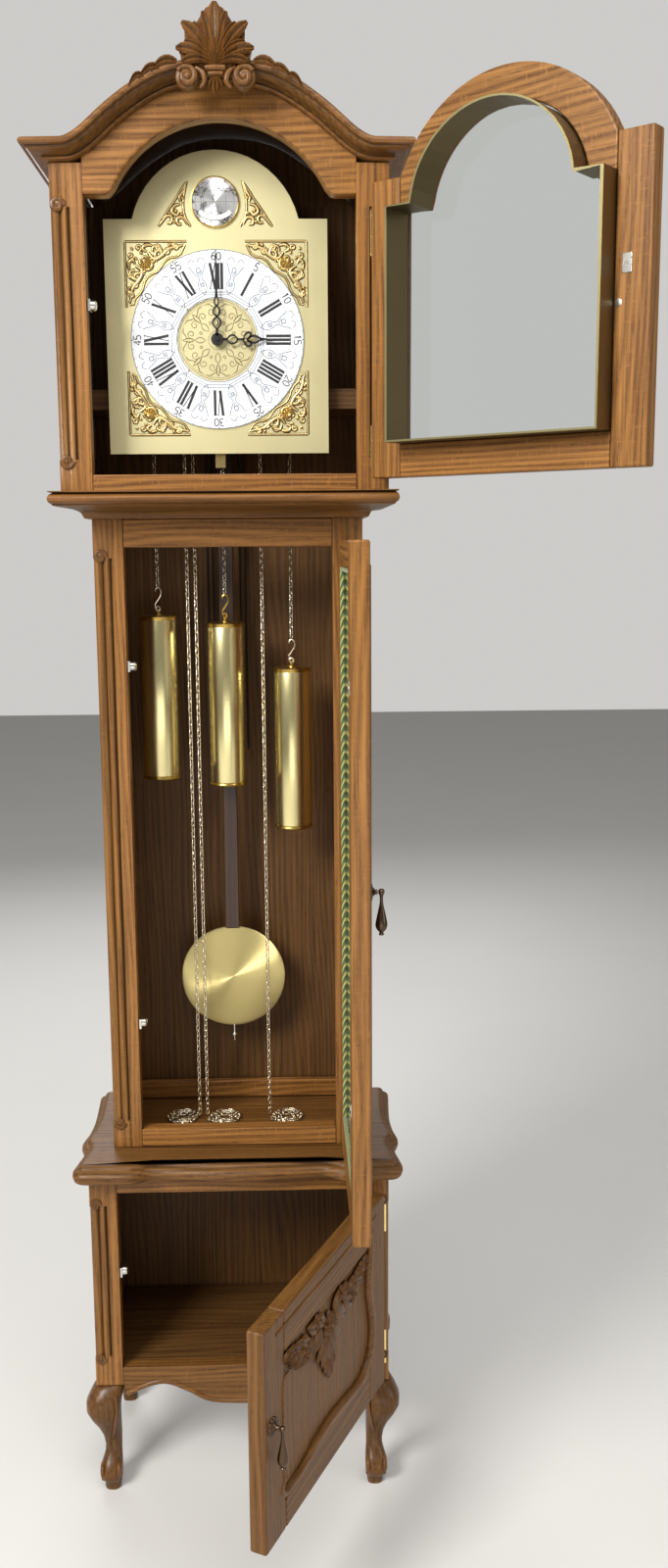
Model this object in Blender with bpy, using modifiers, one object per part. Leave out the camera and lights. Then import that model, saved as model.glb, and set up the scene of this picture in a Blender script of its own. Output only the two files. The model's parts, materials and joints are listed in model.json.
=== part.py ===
"""Longcase clock: three-part oak case with all doors open, weight-driven movement, pendulum and dial."""
import math

import bmesh
import bpy
from mathutils import Vector

for existing in list(bpy.data.objects):
    bpy.data.objects.remove(existing, do_unlink=True)

# ---------------------------------------------------------------- driving dimensions (metres)
GAP = 0.0003                 # clearance between two pieces that touch
BOARD = 0.022                # thickness of the face frames and of the doors
WALL = 0.014                 # thickness of the case sides
BACK_WALL = 0.008            # thickness of the back boards

# widths: the trunk leads, the base and the hood stand a step wider
TRUNK_HALF_WIDTH = 0.1712
BASE_STEP = 0.0312
HOOD_STEP = 0.0312
BASE_HALF_WIDTH = TRUNK_HALF_WIDTH + BASE_STEP
HOOD_HALF_WIDTH = TRUNK_HALF_WIDTH + HOOD_STEP
BASE_STILE = 0.0369          # width of the base frame's uprights
TRUNK_STILE = 0.0384
HOOD_STILE = 0.0394
BASE_OPENING_HALF = BASE_HALF_WIDTH - BASE_STILE
TRUNK_OPENING_HALF = TRUNK_HALF_WIDTH - TRUNK_STILE
HOOD_OPENING_HALF = HOOD_HALF_WIDTH - HOOD_STILE

# depths: y = 0 is the front of the hood's frame and +y runs to the back
BASE_FRONT = 0.003
TRUNK_FRONT = 0.037
DIAL_FRONT = 0.0768
FRONT_PLATE_Y = DIAL_FRONT + 0.0332
PLATE_SPACING = 0.047        # between the movement's two plates
BACK_PLATE_Y = FRONT_PLATE_Y + PLATE_SPACING
PENDULUM_Y = BACK_PLATE_Y + 0.015
PENDULUM_TO_BACK = 0.050
CASE_BACK = PENDULUM_Y + PENDULUM_TO_BACK
GONG_Y = PENDULUM_Y + 0.023
SEAT_FRONT = FRONT_PLATE_Y - 0.012

# heights of the base
LEG_HEIGHT = 0.150
LEG_WIDTH = 0.042            # room for a leg at each end of the apron
APRON_DROP = 0.032           # how far the apron's middle hangs below the top of the legs
BASE_CASE_HEIGHT = 0.310
BASE_HEIGHT = LEG_HEIGHT + BASE_CASE_HEIGHT
BASE_OPENING_BOTTOM = LEG_HEIGHT + 0.026
BASE_OPENING_TOP = BASE_HEIGHT - 0.0265
BASE_FLOOR_THICKNESS = 0.012
TOP_THICKNESS = 0.024
TOP_OVERHANG = 0.018

# heights of the trunk and the waist moulding
TRUNK_BOTTOM = BASE_HEIGHT + TOP_THICKNESS
TRUNK_LENGTH = 0.844
TRUNK_TOP = TRUNK_BOTTOM + TRUNK_LENGTH
TRUNK_OPENING_BOTTOM = TRUNK_BOTTOM + 0.024
TRUNK_OPENING_TOP = TRUNK_TOP - 0.0352
WAIST_HEIGHT = 0.0325

# heights of the hood
HOOD_BOTTOM = TRUNK_TOP + WAIST_HEIGHT
HOOD_OPENING_BOTTOM = HOOD_BOTTOM + 0.0205
HOOD_OPENING_HEIGHT = 0.3260  # up to the shoulders of the arch
HOOD_SHOULDER = HOOD_OPENING_BOTTOM + HOOD_OPENING_HEIGHT
HOOD_ARCH_HALF = HOOD_OPENING_HALF - 0.0330
HOOD_ARCH_RISE = 0.0860
CORNICE_END = HOOD_SHOULDER + 0.0360  # underside of the cornice at the corners
CORNICE_RISE = 0.0870        # how far the swan neck climbs to the middle
CORNICE_DEPTH = 0.030        # how far the cornice stands out
CORNICE_THICKNESS = 0.022
FINIAL_HEIGHT = 0.076        # of the carving above the cornice's underside at its crown
FINIAL_TOP = CORNICE_END + CORNICE_RISE + FINIAL_HEIGHT
FINIAL_THICKNESS = 0.016

# dial
MOVEMENT_X = -0.0099         # centre line of the dial and the movement
DIAL_BOTTOM = HOOD_OPENING_BOTTOM + 0.0297
DIAL_HALF_WIDTH = 0.140
DIAL_HEIGHT = 0.2858         # up to the shoulders of the arch
DIAL_SHOULDER = DIAL_BOTTOM + DIAL_HEIGHT
DIAL_ARCH_HALF = 0.104
DIAL_ARCH_RISE = 0.0815
DIAL_THICKNESS = 0.002
HANDS_Z = DIAL_BOTTOM + 0.1401
CHAPTER_RADIUS = 0.1095
CHAPTER_INNER = 0.0510
RING_THICKNESS = 0.0015
GLOBE_RADIUS = 0.0303
GLOBE_THICKNESS = 0.003
GLOBE_Z = DIAL_SHOULDER + 0.0196
HAND_THICKNESS = 0.0012
MINUTE_HAND_LENGTH = 0.108
HOUR_HAND_LENGTH = 0.068
MINUTE_HAND_Y = DIAL_FRONT - 0.0103
HOUR_HAND_Y = DIAL_FRONT - 0.0063
ARBOR_RADIUS = 0.0025

# movement on its seat board
SEAT_BOTTOM = DIAL_BOTTOM + 0.0573
SEAT_THICKNESS = 0.025
SEAT_TOP = SEAT_BOTTOM + SEAT_THICKNESS
PLATE_HALF_WIDTH = 0.108
PLATE_EAR = 0.012            # part of the front plate that stands on the seat board, each side
PLATE_HEIGHT = 0.150
PLATE_THICKNESS = 0.0025
PILLAR_RADIUS = 0.004

# chain wheels, chains and weights
WHEEL_Z = SEAT_TOP + 0.032
WHEEL_RIM = 0.0025           # how far a wheel's rim stands above its chain's middle
WHEEL_AXLE_RADIUS = 0.004
CHAIN_Y = FRONT_PLATE_Y + 0.018
CHAIN_RADIUS = 0.0022
WEIGHT_RADIUS = 0.025
WEIGHT_LENGTH = 0.221
WEIGHT_HOOK = 0.040          # from the weight's top cap to the end of its hook
COIL_TURNS = 3
COIL_OUTER = 0.024
COIL_INNER = 0.007
CHAINS = {
    # name: x of the weight's side, x of the free side, depth of the weight's top below the wheels
    "left": (-0.0900, -0.0500, 0.323),
    "middle": (0.0000, -0.0390, 0.333),
    "right": (0.0890, 0.0500, 0.394),
}

# pendulum
PENDULUM_PIVOT_Z = SEAT_TOP + 0.092
ROD_TOP_Z = PENDULUM_PIVOT_Z - 0.085
PENDULUM_TIP_Z = TRUNK_BOTTOM + 0.103
BOB_Z = PENDULUM_TIP_Z + 0.098
BOB_RADIUS = 0.0738
BOB_THICKNESS = 0.012
ROD_WIDTH = 0.020
ROD_THICKNESS = 0.007

# chime rods
GONG_BLOCK_Z = SEAT_BOTTOM - 0.043
GONG_ROD_LENGTH = 0.415
GONG_ROD_RADIUS = 0.0016
GONG_BLOCK_HALF = 0.040
GONG_ROD_OFFSETS = (-0.026, -0.019, 0.019, 0.026)

# doors: each laps over its opening, by a little more or less on the hinge side
PIN_SETBACK = 0.005          # from a hinge's pin to the edge of its door
PIN_FORWARD = 0.011          # from a face frame to its hinge pins
DOOR_GAP = 0.0005            # between a closed door and its face frame
GLASS = 0.003

HOOD_LAP_HINGE = 0.0146
HOOD_LAP_FREE = 0.0204
HOOD_LAP_ENDS = 0.0075
HOOD_DOOR_WIDTH = 2 * HOOD_OPENING_HALF + HOOD_LAP_HINGE + HOOD_LAP_FREE
HOOD_DOOR_HINGE_X = HOOD_OPENING_HALF + HOOD_LAP_HINGE + PIN_SETBACK
HOOD_DOOR_BOTTOM = HOOD_OPENING_BOTTOM - HOOD_LAP_ENDS
HOOD_DOOR_SHOULDER = HOOD_SHOULDER + HOOD_LAP_ENDS
HOOD_DOOR_ARCH_HALF = HOOD_ARCH_HALF + 0.008
HOOD_DOOR_ARCH_RISE = HOOD_ARCH_RISE + 0.0065
HOOD_DOOR_OPEN = 140.0
HOOD_SIGHT_HALF = DIAL_HALF_WIDTH - 0.003
HOOD_SIGHT_BOTTOM = DIAL_BOTTOM + 0.0033
HOOD_SIGHT_SHOULDER = DIAL_SHOULDER - 0.0215
HOOD_SIGHT_ARCH = DIAL_ARCH_HALF
HOOD_SIGHT_RISE = 0.092
HOOD_GLASS_DEPTH = 0.014     # of the pane below the door's inner face
LINER_DEPTH = 0.030          # how far the metal sight ring stands behind the door
LINER_THICKNESS = 0.0015
HOOD_HINGE_HEIGHTS = (HOOD_DOOR_BOTTOM + 0.0375, HOOD_DOOR_SHOULDER - 0.0545)

TRUNK_LAP_HINGE = 0.0122
TRUNK_LAP_FREE = 0.0102
TRUNK_DOOR_WIDTH = 2 * TRUNK_OPENING_HALF + TRUNK_LAP_HINGE + TRUNK_LAP_FREE
TRUNK_DOOR_HINGE_X = TRUNK_OPENING_HALF + TRUNK_LAP_HINGE + PIN_SETBACK
TRUNK_DOOR_BOTTOM = TRUNK_OPENING_BOTTOM - 0.013
TRUNK_DOOR_TOP = TRUNK_OPENING_TOP + 0.0062
TRUNK_DOOR_OPEN = 90.6
TRUNK_DOOR_STILE = 0.041
TRUNK_SIGHT_BOTTOM = TRUNK_DOOR_BOTTOM + 0.050
TRUNK_SIGHT_TOP = TRUNK_DOOR_TOP - 0.031
TRUNK_GLASS_DEPTH = 0.0062
TRUNK_HINGE_HEIGHTS = (TRUNK_DOOR_BOTTOM + 0.095, TRUNK_DOOR_TOP - 0.074)
TRUNK_DROP_Z = TRUNK_DOOR_BOTTOM + 0.417

BASE_LAP_HINGE = 0.0175
BASE_LAP_FREE = 0.0135
BASE_DOOR_WIDTH = 2 * BASE_OPENING_HALF + BASE_LAP_HINGE + BASE_LAP_FREE
BASE_DOOR_HINGE_X = BASE_OPENING_HALF + BASE_LAP_HINGE + PIN_SETBACK
BASE_DOOR_BOTTOM = BASE_OPENING_BOTTOM - 0.015
BASE_DOOR_TOP = BASE_OPENING_TOP + 0.0035
BASE_DOOR_OPEN = 64.5
BASE_DOOR_STILE = 0.052
PANEL_FRONT_DEPTH = 0.003    # of the panel below the door's outer face
PANEL_BACK_DEPTH = 0.004
BASE_HINGE_HEIGHTS = (BASE_DOOR_BOTTOM + 0.040, BASE_DOOR_TOP - 0.040)
BASE_DROP_Z = BASE_DOOR_BOTTOM + 0.153
BASE_DROP_INSET = 0.019      # from the door's free edge

# fittings
HINGE_LENGTH = 0.052
BARREL_RADIUS = 0.0035
LEAF_THICKNESS = 0.0014
LEAF_WIDTH = 0.0110
DROP_LENGTH = 0.050
DROP_STEM = 0.0127           # from the door's face to the pin that a teardrop handle swings on
CATCH_LENGTH = 0.016
CATCHES = {
    # name: half width of its opening, front of its frame, height
    "hood_catch": (HOOD_OPENING_HALF, 0.0, HOOD_OPENING_BOTTOM + 0.201),
    "trunk_catch_upper": (TRUNK_OPENING_HALF, TRUNK_FRONT, TRUNK_OPENING_TOP - 0.1518),
    "trunk_catch_lower": (TRUNK_OPENING_HALF, TRUNK_FRONT, TRUNK_OPENING_BOTTOM + 0.150),
    "base_catch": (BASE_OPENING_HALF, BASE_FRONT, BASE_OPENING_BOTTOM + 0.139),
}

# ---------------------------------------------------------------- materials and collections
parts = bpy.data.collections.new("longcase_clock")
bpy.context.scene.collection.children.link(parts)


def make_material(name, color, roughness, metallic=0.0):
    material = bpy.data.materials.new(name)
    material.use_nodes = True
    shader = material.node_tree.nodes["Principled BSDF"]
    shader.inputs["Base Color"].default_value = (*color, 1.0)
    shader.inputs["Roughness"].default_value = roughness
    shader.inputs["Metallic"].default_value = metallic
    material.diffuse_color = (*color, 1.0)
    return material


oak = make_material("oak", (0.34, 0.16, 0.05), 0.45)
carved_oak = make_material("carved_oak", (0.26, 0.11, 0.035), 0.5)
plywood = make_material("oak_plywood", (0.22, 0.11, 0.045), 0.6)
dark_wood = make_material("dark_wood", (0.05, 0.025, 0.015), 0.4)
brass = make_material("brass", (0.78, 0.6, 0.22), 0.25, 1.0)
dial_brass = make_material("dial_brass", (0.75, 0.66, 0.4), 0.35, 1.0)
aged_brass = make_material("aged_brass", (0.35, 0.3, 0.12), 0.4, 1.0)
bronze = make_material("bronze", (0.1, 0.07, 0.05), 0.4, 1.0)
steel = make_material("steel", (0.6, 0.6, 0.6), 0.3, 1.0)
silvered = make_material("silvered", (0.85, 0.85, 0.82), 0.4, 0.6)
black = make_material("black_enamel", (0.01, 0.01, 0.01), 0.35, 0.2)
glass = make_material("glass", (0.9, 0.95, 0.95), 0.02)


# ---------------------------------------------------------------- shape helpers
def place(obj, name, material, parent=None):
    """Names an object, gives it its material, parent and collection."""
    obj.name = name
    obj.data.name = name
    obj.data.materials.clear()
    obj.data.materials.append(material)
    for collection in list(obj.users_collection):
        collection.objects.unlink(obj)
    parts.objects.link(obj)
    if parent is not None:
        obj.parent = parent
    return obj


def new_mesh(build):
    """A mesh object whose bmesh is filled in by build."""
    mesh = bpy.data.meshes.new("shape")
    shape = bmesh.new()
    build(shape)
    bmesh.ops.recalc_face_normals(shape, faces=shape.faces)
    shape.to_mesh(mesh)
    shape.free()
    obj = bpy.data.objects.new("shape", mesh)
    parts.objects.link(obj)
    return obj


def box(low, high):
    """A box between two corners."""
    size = Vector(high) - Vector(low)
    centre = (Vector(high) + Vector(low)) / 2

    def build(shape):
        bmesh.ops.create_cube(shape, size=1.0)
        bmesh.ops.scale(shape, vec=size, verts=shape.verts)
        bmesh.ops.translate(shape, vec=centre, verts=shape.verts)

    return new_mesh(build)


def rounded(obj, width, segments=1):
    """Rounds the long edges of a piece."""
    bevel = obj.modifiers.new("edges", "BEVEL")
    bevel.width = width
    bevel.segments = segments
    bevel.limit_method = "ANGLE"
    bevel.angle_limit = math.radians(50)
    return obj


def cylinder(centre, radius, length, axis="Z", sides=24):
    """A cylinder with its middle at centre."""

    def build(shape):
        bmesh.ops.create_cone(
            shape, cap_ends=True, segments=sides, radius1=radius, radius2=radius, depth=length)

    obj = new_mesh(build)
    obj.data.shade_smooth()
    obj.data.set_sharp_from_angle(angle=math.radians(40))
    turn = {"X": (0, math.pi / 2, 0), "Y": (math.pi / 2, 0, 0), "Z": (0, 0, 0)}[axis]
    obj.rotation_euler = turn
    obj.location = centre
    return obj


def turned(profile, centre, axis="Z", steps=24):
    """A turned piece from (radius, height) pairs, top down; axis Y puts the top to the front."""
    mesh = bpy.data.meshes.new("profile")
    points = [(0.0, profile[0][1])] + list(profile) + [(0.0, profile[-1][1])]
    mesh.from_pydata([(r, 0.0, h) for r, h in points], [(i, i + 1) for i in range(len(points) - 1)], [])
    obj = bpy.data.objects.new("turned", mesh)
    parts.objects.link(obj)
    screw = obj.modifiers.new("turn", "SCREW")
    screw.steps = steps
    screw.render_steps = steps
    screw.use_merge_vertices = True
    screw.merge_threshold = 0.00005
    screw.use_smooth_shade = True
    obj.location = centre
    if axis == "Y":
        obj.rotation_euler = (math.pi / 2, 0, 0)
    return obj


def flat_board(loops, thickness, plane="XZ", middle=0.0):
    """A board cut from 2D outlines (the first is outside, the others are holes), thick across its plane."""
    curve = bpy.data.curves.new("outline", "CURVE")
    curve.dimensions = "2D"
    curve.fill_mode = "BOTH"
    curve.extrude = thickness / 2
    for loop in loops:
        spline = curve.splines.new("POLY")
        spline.points.add(len(loop) - 1)
        for point, (u, v) in zip(spline.points, loop):
            point.co = (u, v, 0, 1)
        spline.use_cyclic_u = True
    obj = bpy.data.objects.new("outline", curve)
    parts.objects.link(obj)
    if plane == "XZ":
        obj.rotation_euler = (math.pi / 2, 0, 0)
        obj.location = (0, middle, 0)
    else:
        obj.location = (0, 0, middle)
    return as_mesh(obj)


def as_mesh(obj):
    """Turns a curve or modified object into a plain mesh in world space, with its caps welded."""
    bpy.context.view_layer.update()
    evaluated = obj.evaluated_get(bpy.context.evaluated_depsgraph_get())
    mesh = bpy.data.meshes.new_from_object(evaluated)
    mesh.transform(obj.matrix_world)
    shape = bmesh.new()
    shape.from_mesh(mesh)
    bmesh.ops.remove_doubles(shape, verts=shape.verts, dist=0.00001)
    bmesh.ops.recalc_face_normals(shape, faces=shape.faces)
    shape.to_mesh(mesh)
    shape.free()
    result = bpy.data.objects.new(obj.name, mesh)
    parts.objects.link(result)
    bpy.data.objects.remove(obj, do_unlink=True)
    return result


def tube(points, radius, resolution=2):
    """A round wire or chain envelope through the points."""
    curve = bpy.data.curves.new("wire", "CURVE")
    curve.dimensions = "3D"
    curve.bevel_depth = radius
    curve.bevel_resolution = resolution
    curve.use_fill_caps = True
    spline = curve.splines.new("POLY")
    spline.points.add(len(points) - 1)
    for point, co in zip(spline.points, points):
        point.co = (*co, 1)
    obj = bpy.data.objects.new("wire", curve)
    parts.objects.link(obj)
    return as_mesh(obj)


def boolean(obj, other, operation):
    """Cuts or joins two solids with the exact solver and bakes the result."""
    modifier = obj.modifiers.new(operation.lower(), "BOOLEAN")
    modifier.operation = operation
    modifier.solver = "EXACT"
    modifier.object = other
    result = as_mesh(obj)
    bpy.data.objects.remove(other, do_unlink=True)
    return result


def joined(pieces):
    """One solid from several that overlap."""
    result = pieces[0]
    for piece in pieces[1:]:
        result = boolean(result, piece, "UNION")
    return result


def rings_solid(rings):
    """A solid lofted through rings of points, closed at both ends."""

    def build(shape):
        loops = []
        for ring in rings:
            verts = [shape.verts.new(co) for co in ring]
            loops.append([shape.edges.new((verts[i - 1], verts[i])) for i in range(len(verts))])
        for first, second in zip(loops, loops[1:]):
            bmesh.ops.bridge_loops(shape, edges=first + second)
        for end in (loops[0], loops[-1]):
            bmesh.ops.contextual_create(shape, geom=end)

    return new_mesh(build)


def arc(centre, radius, start, end, steps):
    """Points on an arc, in degrees, both ends included."""
    angles = [math.radians(start + (end - start) * i / steps) for i in range(steps + 1)]
    return [(centre[0] + radius * math.cos(a), centre[1] + radius * math.sin(a)) for a in angles]


def arched(middle, half, bottom, shoulder, arch_half, arch_rise, steps=20):
    """Outline of an arched opening or panel with square shoulders, counter-clockwise from its lower left."""
    radius = (arch_half ** 2 + arch_rise ** 2) / (2 * arch_rise)
    centre = (middle, shoulder + arch_rise - radius)
    side = math.degrees(math.atan2(shoulder - centre[1], arch_half))
    crown = arc(centre, radius, side, 180 - side, steps)
    return [(middle - half, bottom), (middle + half, bottom), (middle + half, shoulder),
            *crown, (middle - half, shoulder)]


def rectangle(u0, u1, v0, v1):
    return [(u0, v0), (u1, v0), (u1, v1), (u0, v1)]


def smooth(points, steps=4):
    """Catmull-Rom points through a list of 2D points, both ends included."""
    out = []
    count = len(points)
    for i in range(count - 1):
        p0 = Vector(points[max(i - 1, 0)])
        p1 = Vector(points[i])
        p2 = Vector(points[i + 1])
        p3 = Vector(points[min(i + 2, count - 1)])
        for k in range(steps):
            t = k / steps
            q = 0.5 * ((2 * p1) + (p2 - p0) * t + (2 * p0 - 5 * p1 + 4 * p2 - p3) * t * t
                       + (3 * p1 - p0 - 3 * p2 + p3) * t ** 3)
            out.append((q.x, q.y))
    out.append(tuple(points[-1]))
    return out


# ---------------------------------------------------------------- base
def apron_edge():
    """Lower edge of the base's front, from right to left: a scallop each side of a drop in the middle."""
    half = BASE_HALF_WIDTH - LEG_WIDTH
    shape = ((1.0, 0.55), (0.82, 0.12), (0.65, 0.0), (0.46, 0.4), (0.28, 0.88), (0.0, 1.0))
    side = [(half * share, LEG_HEIGHT - APRON_DROP * depth) for share, depth in shape]
    left = [(-x, z) for x, z in reversed(side[:-1])]
    return smooth(side + left, 3)


def make_base():
    apron_half = BASE_HALF_WIDTH - LEG_WIDTH
    outer = [(-BASE_HALF_WIDTH, BASE_HEIGHT - GAP), (-BASE_HALF_WIDTH, LEG_HEIGHT), (-apron_half, LEG_HEIGHT),
             *[(-x, z) for x, z in apron_edge()], (apron_half, LEG_HEIGHT), (BASE_HALF_WIDTH, LEG_HEIGHT),
             (BASE_HALF_WIDTH, BASE_HEIGHT - GAP)]
    hole = rectangle(-BASE_OPENING_HALF, BASE_OPENING_HALF, BASE_OPENING_BOTTOM, BASE_OPENING_TOP)
    frame = flat_board([outer, hole], BOARD, middle=BASE_FRONT + BOARD / 2)
    place(frame, "base_front_frame", oak)

    inner_front = BASE_FRONT + BOARD + GAP
    wall = carcass(BASE_HALF_WIDTH, inner_front, LEG_HEIGHT, BASE_HEIGHT - GAP)
    place(wall, "base_carcass", oak)

    inside = BASE_HALF_WIDTH - WALL - GAP
    floor_top = BASE_OPENING_BOTTOM - GAP
    floor_back = CASE_BACK - BACK_WALL - GAP
    floor = box((-inside, inner_front, floor_top - BASE_FLOOR_THICKNESS), (inside, floor_back, floor_top))
    place(floor, "base_floor", plywood)

    top = flat_board([top_outline()], TOP_THICKNESS, "XY", BASE_HEIGHT + TOP_THICKNESS / 2)
    rounded(top, 0.008, 2)
    place(top, "base_top", oak)

    for side, name in ((-1, "left"), (1, "right")):
        for forward, where in ((-1, "front"), (1, "back")):
            place(cabriole_leg(side, forward), f"leg_{where}_{name}", carved_oak)


def carcass(half_width, front, bottom, top):
    """The two sides and the back of a case section, glued up as one."""
    inner = half_width - WALL
    outline = [(-half_width, CASE_BACK), (-half_width, front), (-inner, front),
               (-inner, CASE_BACK - BACK_WALL), (inner, CASE_BACK - BACK_WALL),
               (inner, front), (half_width, front), (half_width, CASE_BACK)]
    return flat_board([outline], top - bottom, "XY", (top + bottom) / 2)


def top_outline():
    """Serpentine edge of the base's top, from the back right corner round the front to the back left."""
    half = BASE_HALF_WIDTH + TOP_OVERHANG
    front = BASE_FRONT - 2 * TOP_OVERHANG
    back = CASE_BACK + 0.009
    side = [(half - 0.003, back), (half - 0.007, back - 0.081), (half - 0.005, back - 0.126),
            (half, back - 0.161), (half - 0.007, front + 0.073), (half - 0.002, front + 0.038),
            (half, front + 0.018), (half - 0.010, front + 0.003), (half - 0.040, front + 0.001),
            (half - 0.075, front), (half - 0.092, front + 0.006), (half - 0.108, front + 0.013),
            (half - 0.150, front + 0.009), (half - 0.185, front + 0.005), (0.0, front + 0.003)]
    points = smooth(side, 2)
    return points + [(-x, y) for x, y in reversed(points[:-1])]


def cabriole_leg(side, forward):
    """A leg with a bulging knee, slim ankle and scrolled foot, lofted through level rings."""
    # height, outward, forward, radius
    stations = [(LEG_HEIGHT - GAP, 0.000, 0.000, 0.0210), (0.140, 0.006, 0.006, 0.0240),
                (0.126, 0.012, 0.012, 0.0260), (0.112, 0.012, 0.014, 0.0250), (0.098, 0.009, 0.013, 0.0210),
                (0.084, 0.005, 0.011, 0.0165), (0.068, 0.002, 0.010, 0.0130), (0.054, 0.001, 0.013, 0.0120),
                (0.042, 0.002, 0.020, 0.0135), (0.030, 0.003, 0.027, 0.0165), (0.018, 0.003, 0.030, 0.0180),
                (0.008, 0.002, 0.028, 0.0160), (0.000, 0.001, 0.026, 0.0120)]
    root_x = BASE_HALF_WIDTH - LEG_WIDTH / 2 + 0.0005
    root_y = BASE_FRONT + 0.0215 if forward < 0 else CASE_BACK - 0.0240
    reach = 1.0 if forward < 0 else 0.0
    rings = []
    for z, out, ahead, radius in stations:
        cx = side * (root_x + out)
        cy = root_y - reach * ahead
        rings.append([(x, y, z) for x, y in arc((cx, cy), radius, 0, 330, 11)])
    leg = rings_solid(rings)
    leg.data.shade_smooth()
    return leg


# ---------------------------------------------------------------- trunk
def make_trunk():
    bottom = TRUNK_BOTTOM + GAP
    outer = rectangle(-TRUNK_HALF_WIDTH, TRUNK_HALF_WIDTH, bottom, TRUNK_TOP - GAP)
    hole = rectangle(-TRUNK_OPENING_HALF, TRUNK_OPENING_HALF, TRUNK_OPENING_BOTTOM, TRUNK_OPENING_TOP)
    frame = flat_board([outer, hole], BOARD, middle=TRUNK_FRONT + BOARD / 2)
    place(frame, "trunk_front_frame", oak)
    wall = carcass(TRUNK_HALF_WIDTH, TRUNK_FRONT + BOARD + GAP, bottom, TRUNK_TOP - GAP)
    place(wall, "trunk_carcass", oak)


def swept_moulding(profile, stations):
    """A moulding of (out, up) points carried through stations of (origin, out direction, up direction)."""
    rings = []
    for origin, out, up in stations:
        rings.append([tuple(Vector(origin) + Vector(out) * u + Vector(up) * v) for u, v in profile])
    return rings_solid(rings)


def make_waist():
    step = HOOD_HALF_WIDTH - TRUNK_HALF_WIDTH
    top = WAIST_HEIGHT - GAP
    bead = [(step + x - 0.0075, z) for x, z in arc((0.0100, top - 0.0095), 0.0080, 80, -80, 6)]
    cove = [(0.008 + 0.026 * (1 - math.cos(a)), 0.003 + 0.011 * math.sin(a))
            for a in (0.0, 0.45, 0.9, 1.3)]
    profile = [(-WALL, 0.0), (0.008, 0.0), *cove, (step - 0.001, 0.0145), *reversed(bead),
               (step, top), (-WALL, top)]
    half = TRUNK_HALF_WIDTH
    # the hood stands further forward than the trunk, so the front of the moulding reaches further out
    reach = (TRUNK_FRONT + step + GAP) / (2 * step)
    up = (0, 0, 1)
    stations = [((-half, CASE_BACK, TRUNK_TOP), (-1, 0, 0), up),
                ((-half, TRUNK_FRONT, TRUNK_TOP), (-1, -reach, 0), up),
                ((half, TRUNK_FRONT, TRUNK_TOP), (1, -reach, 0), up),
                ((half, CASE_BACK, TRUNK_TOP), (1, 0, 0), up)]
    moulding = swept_moulding(profile, stations)
    rail_half = half - WALL / 2
    rail = box((-rail_half, CASE_BACK - WALL, TRUNK_TOP), (rail_half, CASE_BACK, TRUNK_TOP + top))
    place(joined([moulding, rail]), "waist_moulding", oak)


# ---------------------------------------------------------------- hood
def swan_neck(x):
    """Height of the cornice's underside at x: flat at the ends, then an ogee up to a broad crown."""
    ends = [(0.0, 0.000), (0.14, 0.010), (0.25, 0.150), (0.42, 0.500), (0.56, 0.730), (0.70, 0.900),
            (0.85, 0.980), (1.0, 1.0)]
    share = 1.0 - min(abs(x) / HOOD_HALF_WIDTH, 1.0)
    for (s0, h0), (s1, h1) in zip(ends, ends[1:]):
        if share <= s1:
            t = (share - s0) / (s1 - s0)
            return CORNICE_END + CORNICE_RISE * (h0 + (h1 - h0) * t)
    return CORNICE_END + CORNICE_RISE


def neck_points(half, drop=0.0, count=28):
    """Points along the underside of the cornice from left to right, softened and lowered by drop."""
    straight = HOOD_HALF_WIDTH - BOARD - 0.006
    inner = [-straight + 2 * straight * i / count for i in range(count + 1)]
    xs = [-half, *inner, half]
    reach = 0.008
    heights = [(swan_neck(x - reach) + 2 * swan_neck(x) + swan_neck(x + reach)) / 4 - drop for x in xs]
    heights[:2] = heights[-2:] = [CORNICE_END - drop, CORNICE_END - drop]
    return list(zip(xs, heights))


def make_hood():
    bottom = HOOD_BOTTOM
    edge = neck_points(HOOD_HALF_WIDTH, GAP)
    outer = [(HOOD_HALF_WIDTH, bottom), *reversed(edge), (-HOOD_HALF_WIDTH, bottom)]
    hole = arched(0.0, HOOD_OPENING_HALF, HOOD_OPENING_BOTTOM, HOOD_SHOULDER, HOOD_ARCH_HALF, HOOD_ARCH_RISE)
    frame = flat_board([outer, hole], BOARD, middle=BOARD / 2)
    place(frame, "hood_front_frame", oak)

    front = BOARD + GAP
    walls = carcass(HOOD_HALF_WIDTH, front, bottom, CORNICE_END - GAP)
    inside = HOOD_HALF_WIDTH - BOARD - GAP
    gable_edge = neck_points(inside, 2 * GAP)
    gable = flat_board([[(inside, CORNICE_END - 0.02), *reversed(gable_edge), (-inside, CORNICE_END - 0.02)]],
                       BACK_WALL, middle=CASE_BACK - BACK_WALL / 2)
    place(joined([walls, gable]), "hood_carcass", oak)

    roof_low = neck_points(inside, -GAP)
    roof_high = neck_points(inside, -0.006)
    roof = flat_board([[*roof_low, *reversed(roof_high)]], CASE_BACK - front, middle=(CASE_BACK + front) / 2)
    place(roof, "hood_roof", plywood)

    make_cornice()
    make_finial()


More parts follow.
